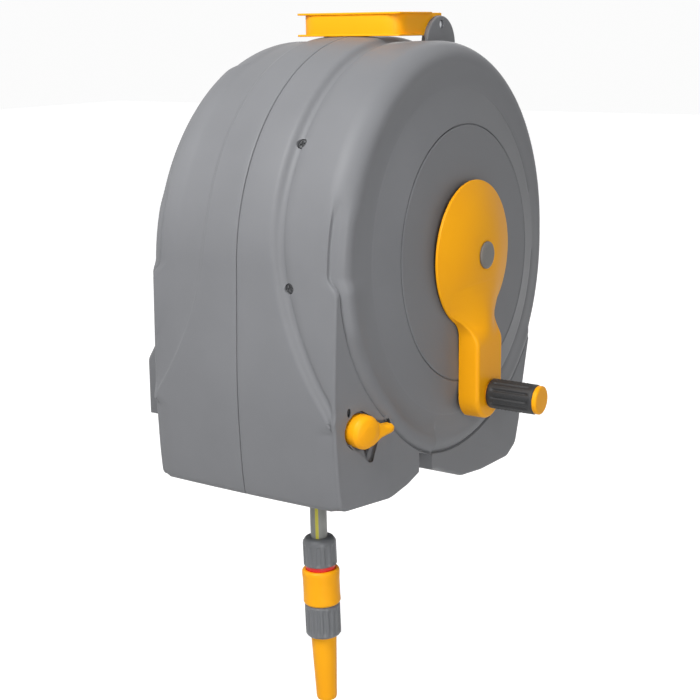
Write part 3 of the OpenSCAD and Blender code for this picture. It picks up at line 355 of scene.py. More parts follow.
def drum_side(middle, kinks, u, v):
    """The side over the drum as (radius, across) along a ray, as far as the rim's edge. The
    right half's upper rim leans less than the face does."""
    reach = math.hypot(u, v)
    way = math.degrees(math.atan2(v / reach, u / reach)) % 360
    turned = (way + 180) % 360 - 180
    grooved = (fade(turned, 15, 17) * fade(turned, 80, 40)
               + fade(turned, -6, -8) * fade(turned, -92, -52))
    beaded = fade(way, 157, 165) * fade(way, 204, 192)
    kinked = kinks * fade(turned, 118, 114) * fade(turned, 30, 60)
    groove = np.column_stack([0 * ring_dip, grooved * ring_dip])
    rim = plain_rim * (1 - beaded) + bead_rim * beaded
    rim = rim * (1 - kinked) + kinked_rim * kinked
    profile = np.concatenate([np.array(middle), face_line - groove, rim])
    r = profile[:, 0]
    held = 1 - (1 - kinks) * fade(r, 172, 206) * (v > 0)
    x = profile[:, 1] - lean * r * v / reach * np.minimum(1, r / 60) * held
    return r, x


def side_section(middle, kinks, u, v, belongs):
    """One ray of a shell's side as (radius, across): the drum's side and rim, or in the skirt
    a step at the ledge, the foot's flat side and its rounded edge."""
    reach = math.hypot(u, v)
    c = u / reach
    r, x = drum_side(middle, kinks, u, v)
    top = float(np.interp(ledge, r, x))
    full = float(fade(belongs, 0, 1))
    fill = max(0.0, float(side_plan(ledge * c)) - 3.2 - top) * full
    x = x + fill * fade(r, 176, ledge) * (r <= ledge)
    plain = np.column_stack([r, x])
    head, tail = plain[r <= ledge], resampled(plain[r > ledge], 24)
    if belongs > 0:
        base, across = top + fill, float(side_plan(ledge * c))
        if across > base:
            begin = ledge + 1.6
            wall = [(ledge + 0.2, base + 0.2), (ledge + 0.6, base + 1.0),
                    (ledge + 0.9, across - 0.9), (begin, float(side_plan(begin * c)))]
        else:
            begin = float(np.interp(-across, -tail[:, 1], tail[:, 0]))
            steps = [ledge + (begin - ledge) * k / 4 for k in range(1, 5)]
            wall = [(q, float(np.interp(q, tail[:, 0], tail[:, 1]))) for q in steps]
        corner = 3.4
        stop = max(reach - corner, begin + 0.3)
        flat = [(q, float(side_plan(q * c))) for q in np.linspace(begin, stop, 14)[1:]]
        last = flat[-1][1]
        turn = [(stop + (reach - stop) * math.sin(q), last - corner + corner * math.cos(q))
                for q in np.linspace(0, math.pi / 2, 8)[1:]]
        tail = tail * (1 - full) + np.array(wall + flat + turn) * full
    count = len(middle) + len(face_line) + 20
    extra = count - len(head)
    if extra > 0:
        head = np.concatenate([head[:-1], np.linspace(head[-2], head[-1], extra + 2)[1:]])
    return np.concatenate([head[:count], tail])


def band_section(side_lip, wide, half):
    """From the side's edge to the seam as (across, rise): channel, lip, crowned band, seam."""
    beside, crown = side_lip[0, 0], side_lip[-1, 1]
    columns = [(half + beside + (wide - half - beside) * t, -0.9 * (1 - t) ** 2)
               for t in (0.96, 0.8, 0.6, 0.4, 0.2)]
    columns += [(half + q, o - 0.9 * np.clip(q / beside, 0, 1)) for q, o in side_lip]
    inner = half + side_lip[-1, 0]
    third = inner - (inner - 1.6) * 0.2371
    across = [inner + (third - inner) * 0.5, third]
    across += [third + (1.6 - third) * t for t in (0.2, 0.4, 0.6, 0.8, 1)]
    columns += [(q, crown + 1.3 * (1 - (q / inner) ** 2)) for q in across]
    seam = crown + 1.3
    columns += [(0.95, seam - 0.15), (0.5, seam - 0.6), (0.3, seam - 1.2), (0.3, seam - 2.6)]
    shape = np.array(columns)
    limit = wide - 0.05 * (np.arange(len(shape)) + 1)
    beyond = shape[:, 0] > limit
    order = np.argsort(shape[:, 0])
    at_edge = float(np.interp(wide, shape[order, 0], shape[order, 1]))
    shape[beyond, 1] = at_edge
    shape[:, 0] = np.minimum(shape[:, 0], limit)
    return shape, at_edge


def shell(name, middle, side_lip, kinks):
    """Half of the housing, thickened inwards and open at the slot that the hose comes out of.
    middle is the profile at the middle of its side; kinks is 1 for the left half's rim."""
    loop, skirt, rise = side_loop()
    rows = []
    for (u, v), belongs, lifted, facing in zip(loop, skirt, rise, outward(loop)):
        reach = math.hypot(u, v)
        side = side_section(middle, kinks, u, v, belongs)
        band, at_edge = band_section(side_lip, float(side[-1, 1]), float(band_edge(v)))
        point, n = np.array([u, v]), facing * lifted
        push = (np.clip((side[:, 0] - ledge) / max(reach - ledge, 1), 0, 1) * at_edge)[:, None]
        side_points = np.column_stack([side[:, 1], side[:, :1] * point / reach + n * push])
        band_points = np.column_stack([band[:, 0], point + n * band[:, 1:]])
        rows.append(np.concatenate([side_points, band_points]))
    verts = np.array(rows)
    verts[..., 1] += axis_y
    flat = verts.reshape(-1, 3)
    front, back = [axis_y + edge for edge in hose_slot]
    faces = []
    for corners in grid(*verts.shape[:2], loop_rows=True):
        mid = flat[list(corners)].mean(0)
        if not (mid[2] < -215 and front - 0.1 < mid[1] < back + 0.1 and mid[0] < 86):
            faces.append(corners)
    made = mesh(name, verts, faces, housing_grey, 38)
    return closed_out(modified(made, "SOLIDIFY", thickness=skin / 1000, offset=-1.0))


# Right half: a grey moulding, open in the middle for the drive cover. The park knob's pocket,
# two screw pockets and the notch between the feet are cut out of it and lined, and the lug
# for the handle's pin is moulded on top.
axis_frame = Matrix.Translation((0, axis_y, 0))
knob_frame = (Matrix.Translation((118.31, -473, -144))
              @ Matrix.Rotation(math.radians(-16.53), 4, "Z"))


def moved(frame, points):
    """Points taken through a frame."""
    turn = np.array(frame)
    return np.asarray(points, float).reshape(-1, 3) @ turn[:3, :3].T + turn[:3, 3]


def lathe(name, profile, material, steps=96, frame=axis_frame, radius=0.0, sharp=35, warp=None):
    """A profile of (radius, place) turned about the X axis of a frame."""
    profile = rounded(profile, radius) if np.any(radius) else np.asarray(profile, float)
    turn = np.linspace(0, 2 * math.pi, steps, endpoint=False)
    r = np.tile(profile[:, 0], (steps, 1))
    x = np.tile(profile[:, 1], (steps, 1))
    a = np.tile(turn[:, None], (1, len(profile)))
    if warp:
        r = warp(r, x, a)
    points = moved(frame, np.stack([x, r * np.cos(a), r * np.sin(a)], -1))
    bored = min(profile[0, 0], profile[-1, 0]) > 0
    faces = grid(steps, len(profile), loop_rows=True, loop_columns=bored)
    return mesh(name, points, faces, material, sharp)


def round_bar(name, radius, low, high, frame, material, sides=40):
    return lathe(name, [(0, low), (radius, low), (radius, high), (0, high)], material, sides, frame)


def counterclockwise(loop):
    """A closed loop of points as an array that runs counterclockwise."""
    loop = np.asarray(loop, float)
    area = np.sum(loop[:, 0] * np.roll(loop[:, 1], -1) - loop[:, 1] * np.roll(loop[:, 0], -1))
    return loop if area > 0 else loop[::-1]


def loop_grown(loop, by):
    loop = counterclockwise(loop)
    return loop + outward(loop) * by


def capped(name, rings, material, frame=Matrix.Identity(4), sharp=35):
    """A closed piece through a row of rings of points, with a flat face at either end."""
    count = len(rings[0])
    faces = grid(len(rings), count, loop_columns=True)
    faces += [tuple(range(count)), tuple(range((len(rings) - 1) * count, len(rings) * count))]
    return mesh(name, moved(frame, np.concatenate(rings)), faces, material, sharp)


def stack(name, loop, levels, material, frame=Matrix.Identity(4)):
    """A closed piece of the given outline, drawn in at each (level, inset)."""
    loop = counterclockwise(loop)
    normal = outward(loop)
    return capped(name, [np.column_stack([np.full(len(loop), x), loop - normal * inset])
                         for x, inset in levels], material, frame)


def slab(name, loop, low, high, edge, material, frame=Matrix.Identity(4), steps=4):
    """A plate of the given closed outline between two levels, its edges rounded."""
    turn = np.linspace(0, math.pi / 2, steps)
    lower = [(low + edge * (1 - math.cos(a)), edge * (1 - math.sin(a))) for a in turn]
    upper = [(high - edge * (1 - math.sin(a)), edge * (1 - math.cos(a))) for a in turn]
    return stack(name, loop, lower + upper if edge else [(low, 0), (high, 0)], material, frame)


def cut(made, *cutters):
    """Takes closed pieces out of a piece."""
    for cutter in cutters:
        modified(made, "BOOLEAN", object=cutter, operation="DIFFERENCE", solver="MANIFOLD")
        bpy.data.objects.remove(cutter)
    return made


def cup(name, loop, floor, rim, wall, frame, material):
    """A thin open cup of the given outline, from its floor to its rim."""
    made = slab(name, loop_grown(loop, wall), floor - wall, rim, 0, material, frame)
    return cut(made, slab("cutter", loop, floor, rim + 9, 0, material, frame))


def join(first, *others):
    """Makes one object of several that touch."""
    for other in others:
        work = bmesh.new()
        work.from_mesh(first.data)
        shift = []
        for material in other.data.materials:
            names = [m.name for m in first.data.materials]
            if material.name not in names:
                first.data.materials.append(material)
            shift.append([m.name for m in first.data.materials].index(material.name))
        before = len(work.faces)
        work.from_mesh(other.data)
        work.faces.ensure_lookup_table()
        for face in work.faces[before:]:
            face.material_index = shift[min(face.material_index, len(shift) - 1)]
        work.to_mesh(first.data)
        work.free()
        bpy.data.objects.remove(other)
    return first


def place(name, body, slot, *nodes):
    """Hands a finished piece to its CAD body, in place of the CAD nodes that it shows."""
    made = bpy.data.objects[name]
    if nodes:
        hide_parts(*nodes)
    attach(made, body)
    return made


def knob_loop(grow=0.0):
    """Teardrop of the park knob, seen along its shaft, as (depth, height)."""
    bulb = 16.5 + grow
    arc = np.radians(np.linspace(84, 266, 40))
    nose = rounded([(-1, -bulb), (9, -15.5 - grow), (19, -9.5 - grow), (31, -7.2 - grow),
                    (35 + grow, -6 - grow), (36.5 + grow, -1), (34 + grow, 2.2 + grow),
                    (23, 2.6 + grow), (13, 9.5 + grow), (2, bulb)],
                   [0, 10, 16, 10, 2.5, 2.5, 3, 14, 14, 0], steps=5)
    return np.concatenate([np.stack([bulb * np.cos(arc), bulb * np.sin(arc)], 1), nose[1:-1]])


def notched(made, side):
    """Cuts the notch between the feet, under the drum's side, and lines it."""
    flip = Matrix.Scale(side, 4, (1, 0, 0))
    front, rear, top_r, deep, out = -382, -337, 210.5, 94, 142
    arch = [(y, -math.sqrt(top_r ** 2 - (y - axis_y) ** 2)) for y in np.linspace(rear, front, 10)]
    notch = [(front, -240), (rear, -240)] + arch
    liner = slab("liner", loop_grown(notch, 2.4), deep - 2.4, 126, 0, housing_grey, flip)
    under = [(-400, -260), (-300, -260), (-300, -229.4), (-400, -207.2)]
    behind = [(-353, -260), (-320, -260), (-320, -205.5), (-353, -205.5)]
    above = [(-353, -205.6), (-320, -205.6), (-320, -185), (-353, -185)]
    proud = 0.35
    for outline, start in ((loop_grown(notch, -proud), deep + proud), (under, 80),
                           (behind, 118.1), (above, 113.2)):
        cut(liner, slab("cutter", outline, start, out - 2, 0, housing_grey, flip))
    cut(made, slab("cutter", notch, deep, out, 0, housing_grey, flip))
    return join(made, liner)


def ear(name, side):
    """Rounded lug on top of a shell that carries the handle's pin."""
    depth, inside, outside = -228, 58, 66
    turn = np.linspace(0, 2 * math.pi, 72, endpoint=False)
    circle = np.stack([np.cos(turn), np.sin(turn)], 1)
    flip = Matrix.Scale(side, 4, (1, 0, 0))
    made = slab(name, 30 * circle + (depth, 209), inside, outside, 1.8, housing_grey, flip)
    return cut(made, slab("cutter", 4.3 * circle + (depth, 230), inside - 8, outside + 14, 0,
                          housing_grey, flip))


def radial(x, angle):
    """Frame whose X axis points out of the drum axis at an angle seen from the side."""
    a = math.radians(angle)
    return (Matrix.Translation((x, axis_y, 0)) @ Matrix.Rotation(a, 4, "X")
            @ Matrix.Rotation(math.pi / 2, 4, "Z"))


cover_seat = [(122.4, 126.6), (122.4, 128.0), (131.9, 128.0), (132.0, 129.5), (132.9, 130.0)]
right = shell("right_shell_visual", cover_seat, lip, 0)
pocket_floor = -5.5
v_pocket = rounded([(-11, -13), (24, -9), (15.5, -34), (11, -34)], [0, 0, 2, 2], closed=True)
dot = [(-14 + 2.4 * math.cos(a), 20 + 4.6 * math.sin(a)) for a in np.linspace(0, 6.283, 25)[:-1]]
for number, outline in enumerate([knob_loop(3), v_pocket, dot]):
    join(right, cup(f"pocket_{number}", outline, pocket_floor, -0.6, 2.4, knob_frame,
                    housing_grey))
    cut(right, slab("cutter", outline, pocket_floor, 14, 0, housing_grey, knob_frame))
notched(right, 1)
band_spots = [(47, 144.8), (57, 182.4)]
for x, angle in band_spots:
    cut(right, round_bar("cutter", 5.4, 200, 230, radial(x, angle), housing_grey))
join(right, ear("ear_right", 1))
right.data.set_sharp_from_angle(angle=math.radians(34))
place("right_shell_visual", "housing", "housing_grey", "right_shell")

# Band screws: two dark countersunk screws with a cross recess, sunk in round pockets in the
# right half's channel, beside the raised band.
shell_dark = plastic("dark_plastic", "37383a", "424345", (0.4, 0.5))
heads = []
screw_line = [(0, 209.2), (5.1, 209.2), (5.1, 210.6), (4.2, 211.5), (0, 211.9)]
recess = [(-3.1, -0.55), (3.1, -0.55), (3.1, 0.55), (-3.1, 0.55)]
for number, (x, angle) in enumerate(band_spots):
    head = lathe(f"band_screw_{number}", screw_line, shell_dark, 40, radial(x, angle),
                 [0, 0.3, 0.5, 0.8, 0])
    for spin in (20, 110):
        cut(head, slab("cutter", recess, 210.6, 213, 0, shell_dark,
                       radial(x, angle) @ Matrix.Rotation(math.radians(spin), 4, "X")))
    heads.append(head)
join(*heads)
place("band_screw_0", "housing", "dark_plastic", "band_screws").name = "band_screws_visual"

# Left half: the other grey moulding, closed in the middle, with six wells for the screws that
# hold the halves together. The cowl over the water inlet and the second lug are moulded on it.
closed_middle = [(0.4, 130.2), (60, 130.2), (120, 130.1), (130.6, 129.9), (131.2, 129.2),
                 (131.9, 129.2), (132.9, 129.9)]
left = shell("left_shell_visual", closed_middle, lip_soft, 1)
left.data.transform(Matrix.Scale(-1, 4, (1, 0, 0)))
left.data.flip_normals()
notched(left, -1)
well_ring = 203.4
wells = [(axis_y + well_ring * math.cos(a), well_ring * math.sin(a))
         for a in np.radians((62, 118, 8, -30))] + [(-486, -209), (-166, -247.5)]
for y, z in wells:
    cut(left, round_bar("cutter", 4.9, -160, -98, Matrix.Translation((0, y, z)), housing_grey))
cowl_line = rounded([(100, -66), (124, -76), (147, -94), (157, -110), (157, -170), (100, -170)],
                    [0, 12, 16, 14, 0, 0], closed=True)
room_line = rounded([(96, -70), (124, -79.5), (145, -96), (154, -111), (154, -190), (96, -190)],
                    [0, 10, 12, 11, 0, 0], closed=True)
cowl_front, cowl_back = -463, -411
cowl_frame = Matrix(((0, -1, 0, 0), (1, 0, 0, 0), (0, 0, 1, 0), (0, 0, 0, 1)))
cowl = slab("cowl", cowl_line, cowl_front, cowl_back, 5, housing_grey, cowl_frame)
cut(cowl, slab("cutter", room_line, cowl_front + skin, cowl_back - skin, 3, housing_grey,
               cowl_frame))
join(left, cowl, ear("ear_left", -1))
left.data.set_sharp_from_angle(angle=math.radians(34))
place("left_shell_visual", "housing", "housing_grey", "left_shell")

# Drive cover: a flat disc moulded in the housing's grey. It is let into a seat in the middle
# of the right half and leans with it, and the crank's shaft comes out through its bore.
cover_frame = Matrix.Translation((130, axis_y, 0)) @ Matrix.Rotation(math.radians(-2), 4, "Y")
cover_line = [(8.4, -12), (8.4, 0.3), (60, 0.4), (129.6, 0.35), (130.9, -0.2), (131.1, -1.7),
              (122, -1.7), (121.8, -3.2), (12, -3.2), (12, -12)]


def fitted(node, body, slot, profile, material, steps, frame, *how, **more):
    """A turned piece that takes the place of the CAD node of the same name."""
    name = f"{node}_visual"
    lathe(name, profile, material, steps, frame, *how, **more)
    return place(name, body, slot, node)


fitted("drive_cover", "housing", "housing_grey", cover_line, housing_grey, 180, cover_frame,
       [0, 0, 0, 0.6, 0.6, 0, 0, 0, 0, 0])

# Crank: one yellow moulding, a domed disc that is screwed on the crank's shaft and an arm that
# rises out of it to a box section. A stem at its end holds the grip's axle.
yellow = plastic("yellow", "fba80a", "ffb312", (0.44, 0.54), grain=0.03, shine=0.22)
disc_x, disc_r, hub_r, hub_x = 134.6, 75.9, 14.0, 150.6
throw, arm_half, arm_top, arm_edge, bend_r = 145.0, 27.0, 158.0, 4.2, 20.0
bend_z = -math.sqrt((disc_r + bend_r) ** 2 - (arm_half + bend_r) ** 2)
meet_z = bend_z * disc_r / (disc_r + bend_r)
arm_frame = Matrix.Translation((0, axis_y, -throw))


def dome_height(r):
    out = np.clip((r - hub_r) / (disc_r - hub_r), 0, 1)
    return disc_x + 3 + 14.2 * np.cos(np.pi / 2 * out)


profile = [(0, disc_x), (disc_r - 1, disc_x), (disc_r - 0.2, disc_x + 0.6), (disc_r, disc_x + 1.4),
           (disc_r - 0.05, disc_x + 2.2), (disc_r - 0.5, disc_x + 3.2)]
profile += [(r, float(dome_height(r))) for r in np.linspace(disc_r - 1.6, hub_r + 1.4, 30)]
profile += [(hub_r + 0.6, hub_x + 1), (hub_r + 0.2, hub_x + 0.4), (0, hub_x)]
disc = lathe("crank_arm_visual", profile, yellow, 160)


def arm_width(z):
    """Half width of the disc and its arm at a height, with a fillet where they meet."""
    if z > meet_z:
        return math.sqrt((disc_r - 0.6) ** 2 - z * z)
    if z > bend_z:
        return arm_half + bend_r - math.sqrt(bend_r ** 2 - (z - bend_z) ** 2)
    return math.sqrt(max(arm_half ** 2 - min(0, z + throw) ** 2, 0.04))


def arm_part(name):
    """The arm: a soft swelling of the disc near the hub that grows into a box section."""
    back = disc_x + 0.6
    across = np.concatenate([[-1, -1], np.sin(np.linspace(-1.5708, 1.5708, 45)), [1, 1]])
    down = list(np.linspace(-hub_r, -throw, 70))
    down += [-throw - arm_half * math.sin(q) for q in np.linspace(0.06, 1.5608, 24)]
    rows = []
    for z in down:
        half = arm_width(z)
        y = across * half
        high = hub_x + (arm_top - hub_x) * fade(z, -hub_r, -90)
        swell = max(0, high - float(dome_height(-z)))
        soft = dome_height(np.hypot(y, z)) - 0.3 + swell * (1 - across ** 2) ** 2
        edge = arm_half - np.hypot(y, z + throw) if z < -throw else half - abs(y)
        fall = 1 - np.sqrt(1 - (1 - np.clip(edge / arm_edge, 0, 1)) ** 2)
        box = fade(z, -50, -92)
        x = soft * (1 - box) + (high - arm_edge * fall) * box
        x[[0, -1]] = back
        rows.append(np.column_stack([x, y, np.full(len(y), z)]))
    return capped(name, rows, yellow, axis_frame, 40)


stem = lathe("stem", [(0, 150), (12, 150), (12, 159.7), (0, 159.7)], yellow, 48, arm_frame,
             [0, 0, 0.6, 0])
join(disc, arm_part("arm"), stem)
place("crank_arm_visual", "crank", "yellow", "crank_arm")

# Hub cap: a plain plug of warm grey plastic, pressed into the middle of the crank's disc over
# the screw that holds it.
cap_grey = plastic("cap_grey", "6a6763", "74716c", (0.45, 0.55))
cap_line = [(0, hub_x + 1.1), (hub_r, hub_x + 1.1), (hub_r, hub_x + 3), (hub_r - 3, hub_x + 4.3),
            (0, hub_x + 4.6)]
fitted("crank_hub_cap", "crank", "grey_plastic", cap_line, cap_grey, 64, axis_frame,
       [0, 0, 0.9, 2.5, 0])

# Grip: a black moulded sleeve with twelve flutes and rows of small bumps between them, bored
# to turn freely on its steel axle.
grip_black = plastic("black_grip", "1c1d1f", "27282a", (0.5, 0.62), grain=0.12)
grip_x, grip_end, grip_r, bore_r, flute_count = 160.0, 212.0, 15.5, 6.2, 12


def flutes(r, x, a):
    along = fade(x, grip_x + 5, grip_x + 8) * fade(x, grip_end - 4, grip_end - 7)
    valley = np.clip(np.cos(flute_count * a), 0, 1) ** 1.5
    return r - 1.15 * along * valley * (r > 12)


body = [(bore_r, grip_x), (grip_r - 1.3, grip_x), (grip_r, grip_x + 1.6)]
body += [(grip_r, x) for x in np.linspace(grip_x + 3, grip_end - 2.4, 44)]
body += [(grip_r, grip_end - 1.4), (grip_r - 0.9, grip_end), (bore_r, grip_end)]
grip = lathe("grip_sleeve_visual", body, grip_black, 240, arm_frame, warp=flutes, sharp=50)


def bumps(name, centre, material):
    """Rows of small bumps round a grip, set out between its flutes with Geometry Nodes."""
    settings = {"Radius": ("NodeSocketFloat", 0.01545), "Rows": ("NodeSocketInt", flute_count),
                "Per row": ("NodeSocketInt", 8)}
    first_at, apart, ball_r = 0.1695, 0.0042, 0.00055
    tree = bpy.data.node_groups.new(name, "GeometryNodeTree")
    socket, make, link = tree.interface.new_socket, tree.nodes.new, tree.links.new
    socket("Geometry", in_out="INPUT", socket_type="NodeSocketGeometry")
    keys = {label: socket(label, in_out="INPUT", socket_type=kind).identifier
            for label, (kind, _) in settings.items()}
    socket("Geometry", in_out="OUTPUT", socket_type="NodeSocketGeometry")
    into, out = make("NodeGroupInput"), make("NodeGroupOutput")
    radius, rows, per_row = [Wire(tree, into.outputs[label]) for label in settings]
    index = Wire(tree, make("GeometryNodeInputIndex").outputs[0])
    turn = index.math("FLOOR", index / per_row) * (2 * math.pi / flute_count)
    angle = turn + math.pi / flute_count
    spot = index.node("CombineXYZ", {0: index.math("MODULO", index, per_row) * apart + first_at,
                                     1: angle.math("COSINE", angle) * radius,
                                     2: angle.math("SINE", angle) * radius})
    line, spread = make("GeometryNodeMeshLine"), make("GeometryNodeSetPosition")
    ball, put = make("GeometryNodeMeshIcoSphere"), make("GeometryNodeInstanceOnPoints")
    solid, paint = make("GeometryNodeRealizeInstances"), make("GeometryNodeSetMaterial")
    ball.inputs["Radius"].default_value = ball_r
    ball.inputs["Subdivisions"].default_value = 2
    paint.inputs["Material"].default_value = material
    link((rows * per_row).socket, line.inputs["Count"])
    link(line.outputs[0], spread.inputs["Geometry"])
    link(spot.socket, spread.inputs["Position"])
    link(spread.outputs[0], put.inputs["Points"])
    link(ball.outputs[0], put.inputs["Instance"])
    link(put.outputs[0], solid.inputs[0])
    link(solid.outputs[0], paint.inputs["Geometry"])
    link(paint.outputs[0], out.inputs[0])
    made = bpy.data.objects.new(name, bpy.data.meshes.new(name))
    scene.collection.objects.link(made)
    modifier = made.modifiers.new("bumps", "NODES")
    modifier.node_group = tree
    for label, (_, value) in settings.items():
        modifier[keys[label]] = value
    made.data = baked(made)
    made.data.transform(Matrix.Translation(centre))
    made.data.shade_smooth()
    made.data.materials.clear()
    made.data.materials.append(material)
    return made


join(grip, bumps("grip_bumps", (0, axis_y / 1000, -throw / 1000), grip_black))
place("grip_sleeve_visual", "grip", "black_grip", "grip_sleeve")

# Grip end cap: a yellow moulded disc with a rounded rim, pressed on the end of the axle to
# keep the grip on it.
end_cap_line = [(0, 212.3), (14.8, 212.3), (14.8, 216.4), (13.2, 217.3), (0, 217.3)]
fitted("grip_end_cap", "crank", "yellow", end_cap_line, yellow, 80, arm_frame,
       [0, 0.5, 1.0, 1.0, 0])

# Park knob: a yellow moulded teardrop with a round bulb, fixed on the shaft of the brake. It
# turns in its pocket on the slanting side and parks the hose.
knob_levels = [(0.6, 0), (5.9, 0), (7.5, 0.3), (8.7, 0.9), (9.7, 1.8), (10.25, 2.9), (10.5, 4.0)]
knob = stack("park_knob_visual", knob_loop(), knob_levels, yellow, knob_frame)
bulb = lathe("bulb", [(0, -4.9), (16.5, -4.9), (16.5, 8.2), (13.5, 12.2), (7, 14.2), (0, 14.6)],
             yellow, 72, knob_frame, [0, 0.5, 4, 5, 8, 0])
join(knob, bulb)
place("park_knob_visual", "knob", "yellow", "park_knob")

# Carry handle: one yellow moulding, a bar of C section on two arms. The arms turn on steel
# pins in the housing's two lugs.
up = Matrix(((0, 1, 0, 0), (0, 0, 1, 0), (1, 0, 0, 0), (0, 0, 0, 1)))


def mirrored(half):
    """A closed outline from the points of its half at positive x."""
    return half + [(-x, y) for x, y in half[::-1]]


web = mirrored([(61, -307.6), (61, -220), (54, -220), (54, -293), (46, -300)])
corners = [20, 0, 0, 10, 4]
handle = slab("carry_handle_visual",
              rounded(web, corners + corners[::-1], closed=True, steps=8), 219.4, 242.0, 1, yellow,
              up)
bends = [4.5, 1, 1, 8, 4]
for level, back in ((218.9, -259.5), (240.6, -243)):
    flange = mirrored([(63.6, -309.6), (63.6, back), (51.6, back), (51.6, -292), (45, -299)])
    join(handle, slab("flange", rounded(flange, bends + bends[::-1], closed=True), level,
                      level + 2.2, 0.8, yellow, up, steps=3))
handle.data.set_sharp_from_angle(angle=math.radians(32))
place("carry_handle_visual", "handle", "yellow", "carry_handle")

# Hose: soft grey PVC with a yellow-green stripe, 17 mm across. It is wound on the drum, led
# down through the guide and hangs from it as one free end.
hose_r, wind_r, pitch, turns, per_turn = 8.5, 163.9, 17.6, 7, 96
lead_x, lead_y, lead_z = 51, -449.569, -163


def tube(name, path, radius, material, sides=24, stripe=None, stripe_material=None):
    """A round hose along a path, with a coloured stripe on the faces that stripe picks."""
    path = np.asarray(path, float)
    ahead = np.gradient(path, axis=0)
    ahead /= np.linalg.norm(ahead, axis=1, keepdims=True)
    side = np.array([1.0, 0, 0]) if abs(ahead[0][0]) < 0.8 else np.array([0, 1.0, 0])
    turn = np.linspace(0, 2 * math.pi, sides, endpoint=False)[:, None]
    rings = []
    for p, d in zip(path, ahead):
        side = side - d * (side @ d)
        side /= np.linalg.norm(side)
        rings.append(p + radius * (np.cos(turn) * side + np.sin(turn) * np.cross(d, side)))
    made = capped(name, rings, material)
    if stripe:
        made.data.materials.append(stripe_material)
        for face in made.data.polygons:
            if stripe(face.normal):
                face.material_index = 1
    return made


def hose_material(name, dark, light):
    """Soft PVC with fine rings along it."""
    material, tree, shader = surface(name)
    spot = tree.node("TexCoord", out=3)
    ribs = tree.node("TexWave", {"Vector": spot, "Scale": 90.0, "Distortion": 0.4},
                     wave_type="BANDS", bands_direction="Z")
    slow = tree.node("TexNoise", {"Vector": spot, "Scale": 30.0})
    link = tree.tree.links.new
    link(slow.between(0.35, 0.65).mix(rgb(dark), rgb(light)).socket, shader.inputs["Base Color"])
    link((slow * 0.15 + 0.32).socket, shader.inputs["Roughness"])
    bump = tree.node("Bump", {"Height": ribs, "Strength": 0.04, "Distance": 0.0004})
    link(bump.socket, shader.inputs["Normal"])
    return material


hose_grey = hose_material("hose_grey", "7d7e7a", "8b8c88")
hose_stripe = hose_material("hose_stripe", "bdb53a", "cfc54a")


def on_front(normal):
    return normal.y < -0.88 and normal.x > 0.12


wound = []
for k in range(turns * per_turn + 1):
    left_over = k / per_turn - turns
    a = math.radians(180 + 360 * left_over)
    wound.append((lead_x + pitch * left_over, axis_y + wind_r * math.cos(a),
                  wind_r * math.sin(a)))
tube("hose_outer_visual", wound, hose_r, hose_grey, 20)
place("hose_outer_visual", "drum", "hose_grey", "hose_outer_layer")
lead_low, lead_high = [corner.z * 1000 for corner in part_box("hose_lead")]
lead = [(lead_x, lead_y, z) for z in np.linspace(lead_high, lead_low, 20)]
tube("hose_lead_visual", lead, hose_r, hose_grey, 24, on_front, hose_stripe)
place("hose_lead_visual", "guide", "hose_grey", "hose_lead")
end_line = [(51, lead_z), (51, -171), (51, -180), (51, -189), (51, -198), (51.1, -207),
            (51.1, -216), (51.2, -225), (51.2, -233), (51.3, -241), (51.4, -248), (51.4, -254),
            (51.5, -260), (51.6, -265), (51.8, -271)]
end_line = [(x, lead_y, z) for x, z in end_line]
hose = tube("hose_end_visual", end_line, hose_r, hose_grey, 32, on_front, hose_stripe)
place("hose_end_visual", "guide", "hose_grey", "hose_end")

# Fittings, all moulded plastic: a dark nut on the hose, a red ring, a yellow sleeve that slides
# back, a grey nozzle base and a yellow barrel. They sit in line on a core that the nut holds.
# Places along them are measured up from the hose's end.
nozzle_grey = plastic("grey_plastic", "5f6164", "6c6e71", (0.4, 0.5))
red = plastic("red", "d9150f", "e8201a", (0.3, 0.4))
hang = (Matrix.Translation(end_line[-1]) @ Matrix.Rotation(math.radians(-2), 4, "Y")
        @ Matrix.Rotation(math.radians(-90), 4, "Y"))


def ribbed(count, depth, low, high, share=0.5):
    """Ribs along a fitting, between two places."""
    def warp(r, x, a):
        along = fade(x, low, low + 1.5) * fade(x, high, high - 1.5)
        wave = np.clip(np.cos(count * a) + share, 0, 1)
        return r - depth * along * wave * (r > 11)
    return warp


nut_line = [(5, -29), (16.4, -29), (17, -28.2)]
nut_line += [(17, x) for x in np.linspace(-27, -6, 12)]
nut_line += [(16.6, -4), (14.2, -0.6), (13, 0), (hose_r, 0)]
fitted("hose_nut", "guide", "grey_plastic", nut_line, nozzle_grey, 240, hang,
       warp=ribbed(12, 1.2, -28, -6), sharp=40)
bore, ring_low, ring_high = 12.1, -38.3, -29.3
ring_line = [(bore, ring_low), (15, ring_low), (15, ring_high), (bore, ring_high)]
fitted("connector_ring", "guide", "red", ring_line, red, 80, hang, [0, 0.8, 0.8, 0])
sleeve_line = [(bore, -70.6), (17.5, -70.6), (19, -68.4), (18.7, -60), (18.7, -46), (19.2, -38),
               (19, -35.4), (17.5, -33.6), (15.4, -33.6), (15.4, -42.7), (bore, -42.7)]
fitted("connector_sleeve", "sleeve", "yellow", sleeve_line, yellow, 96, hang,
       [0, 0.8, 1.2, 4, 4, 2, 1, 0.6, 0.2, 0, 0])
base_line = [(4, -104.9), (16.5, -104.9), (18, -102.9)]
base_line += [(18, x) for x in np.linspace(-101.5, -74.5, 12)]
base_line += [(18, -72.9), (16.5, -70.9), (4, -70.9)]
fitted("nozzle_base", "guide", "grey_plastic", base_line, nozzle_grey, 288, hang,
       warp=ribbed(18, 1.3, -102, -74), sharp=40)
barrel_line = [(3, -177.2), (7.5, -177.2), (10, -175.7), (10.6, -173.2), (13, -107.2),
               (12, -105.2), (7.1, -105.2)]
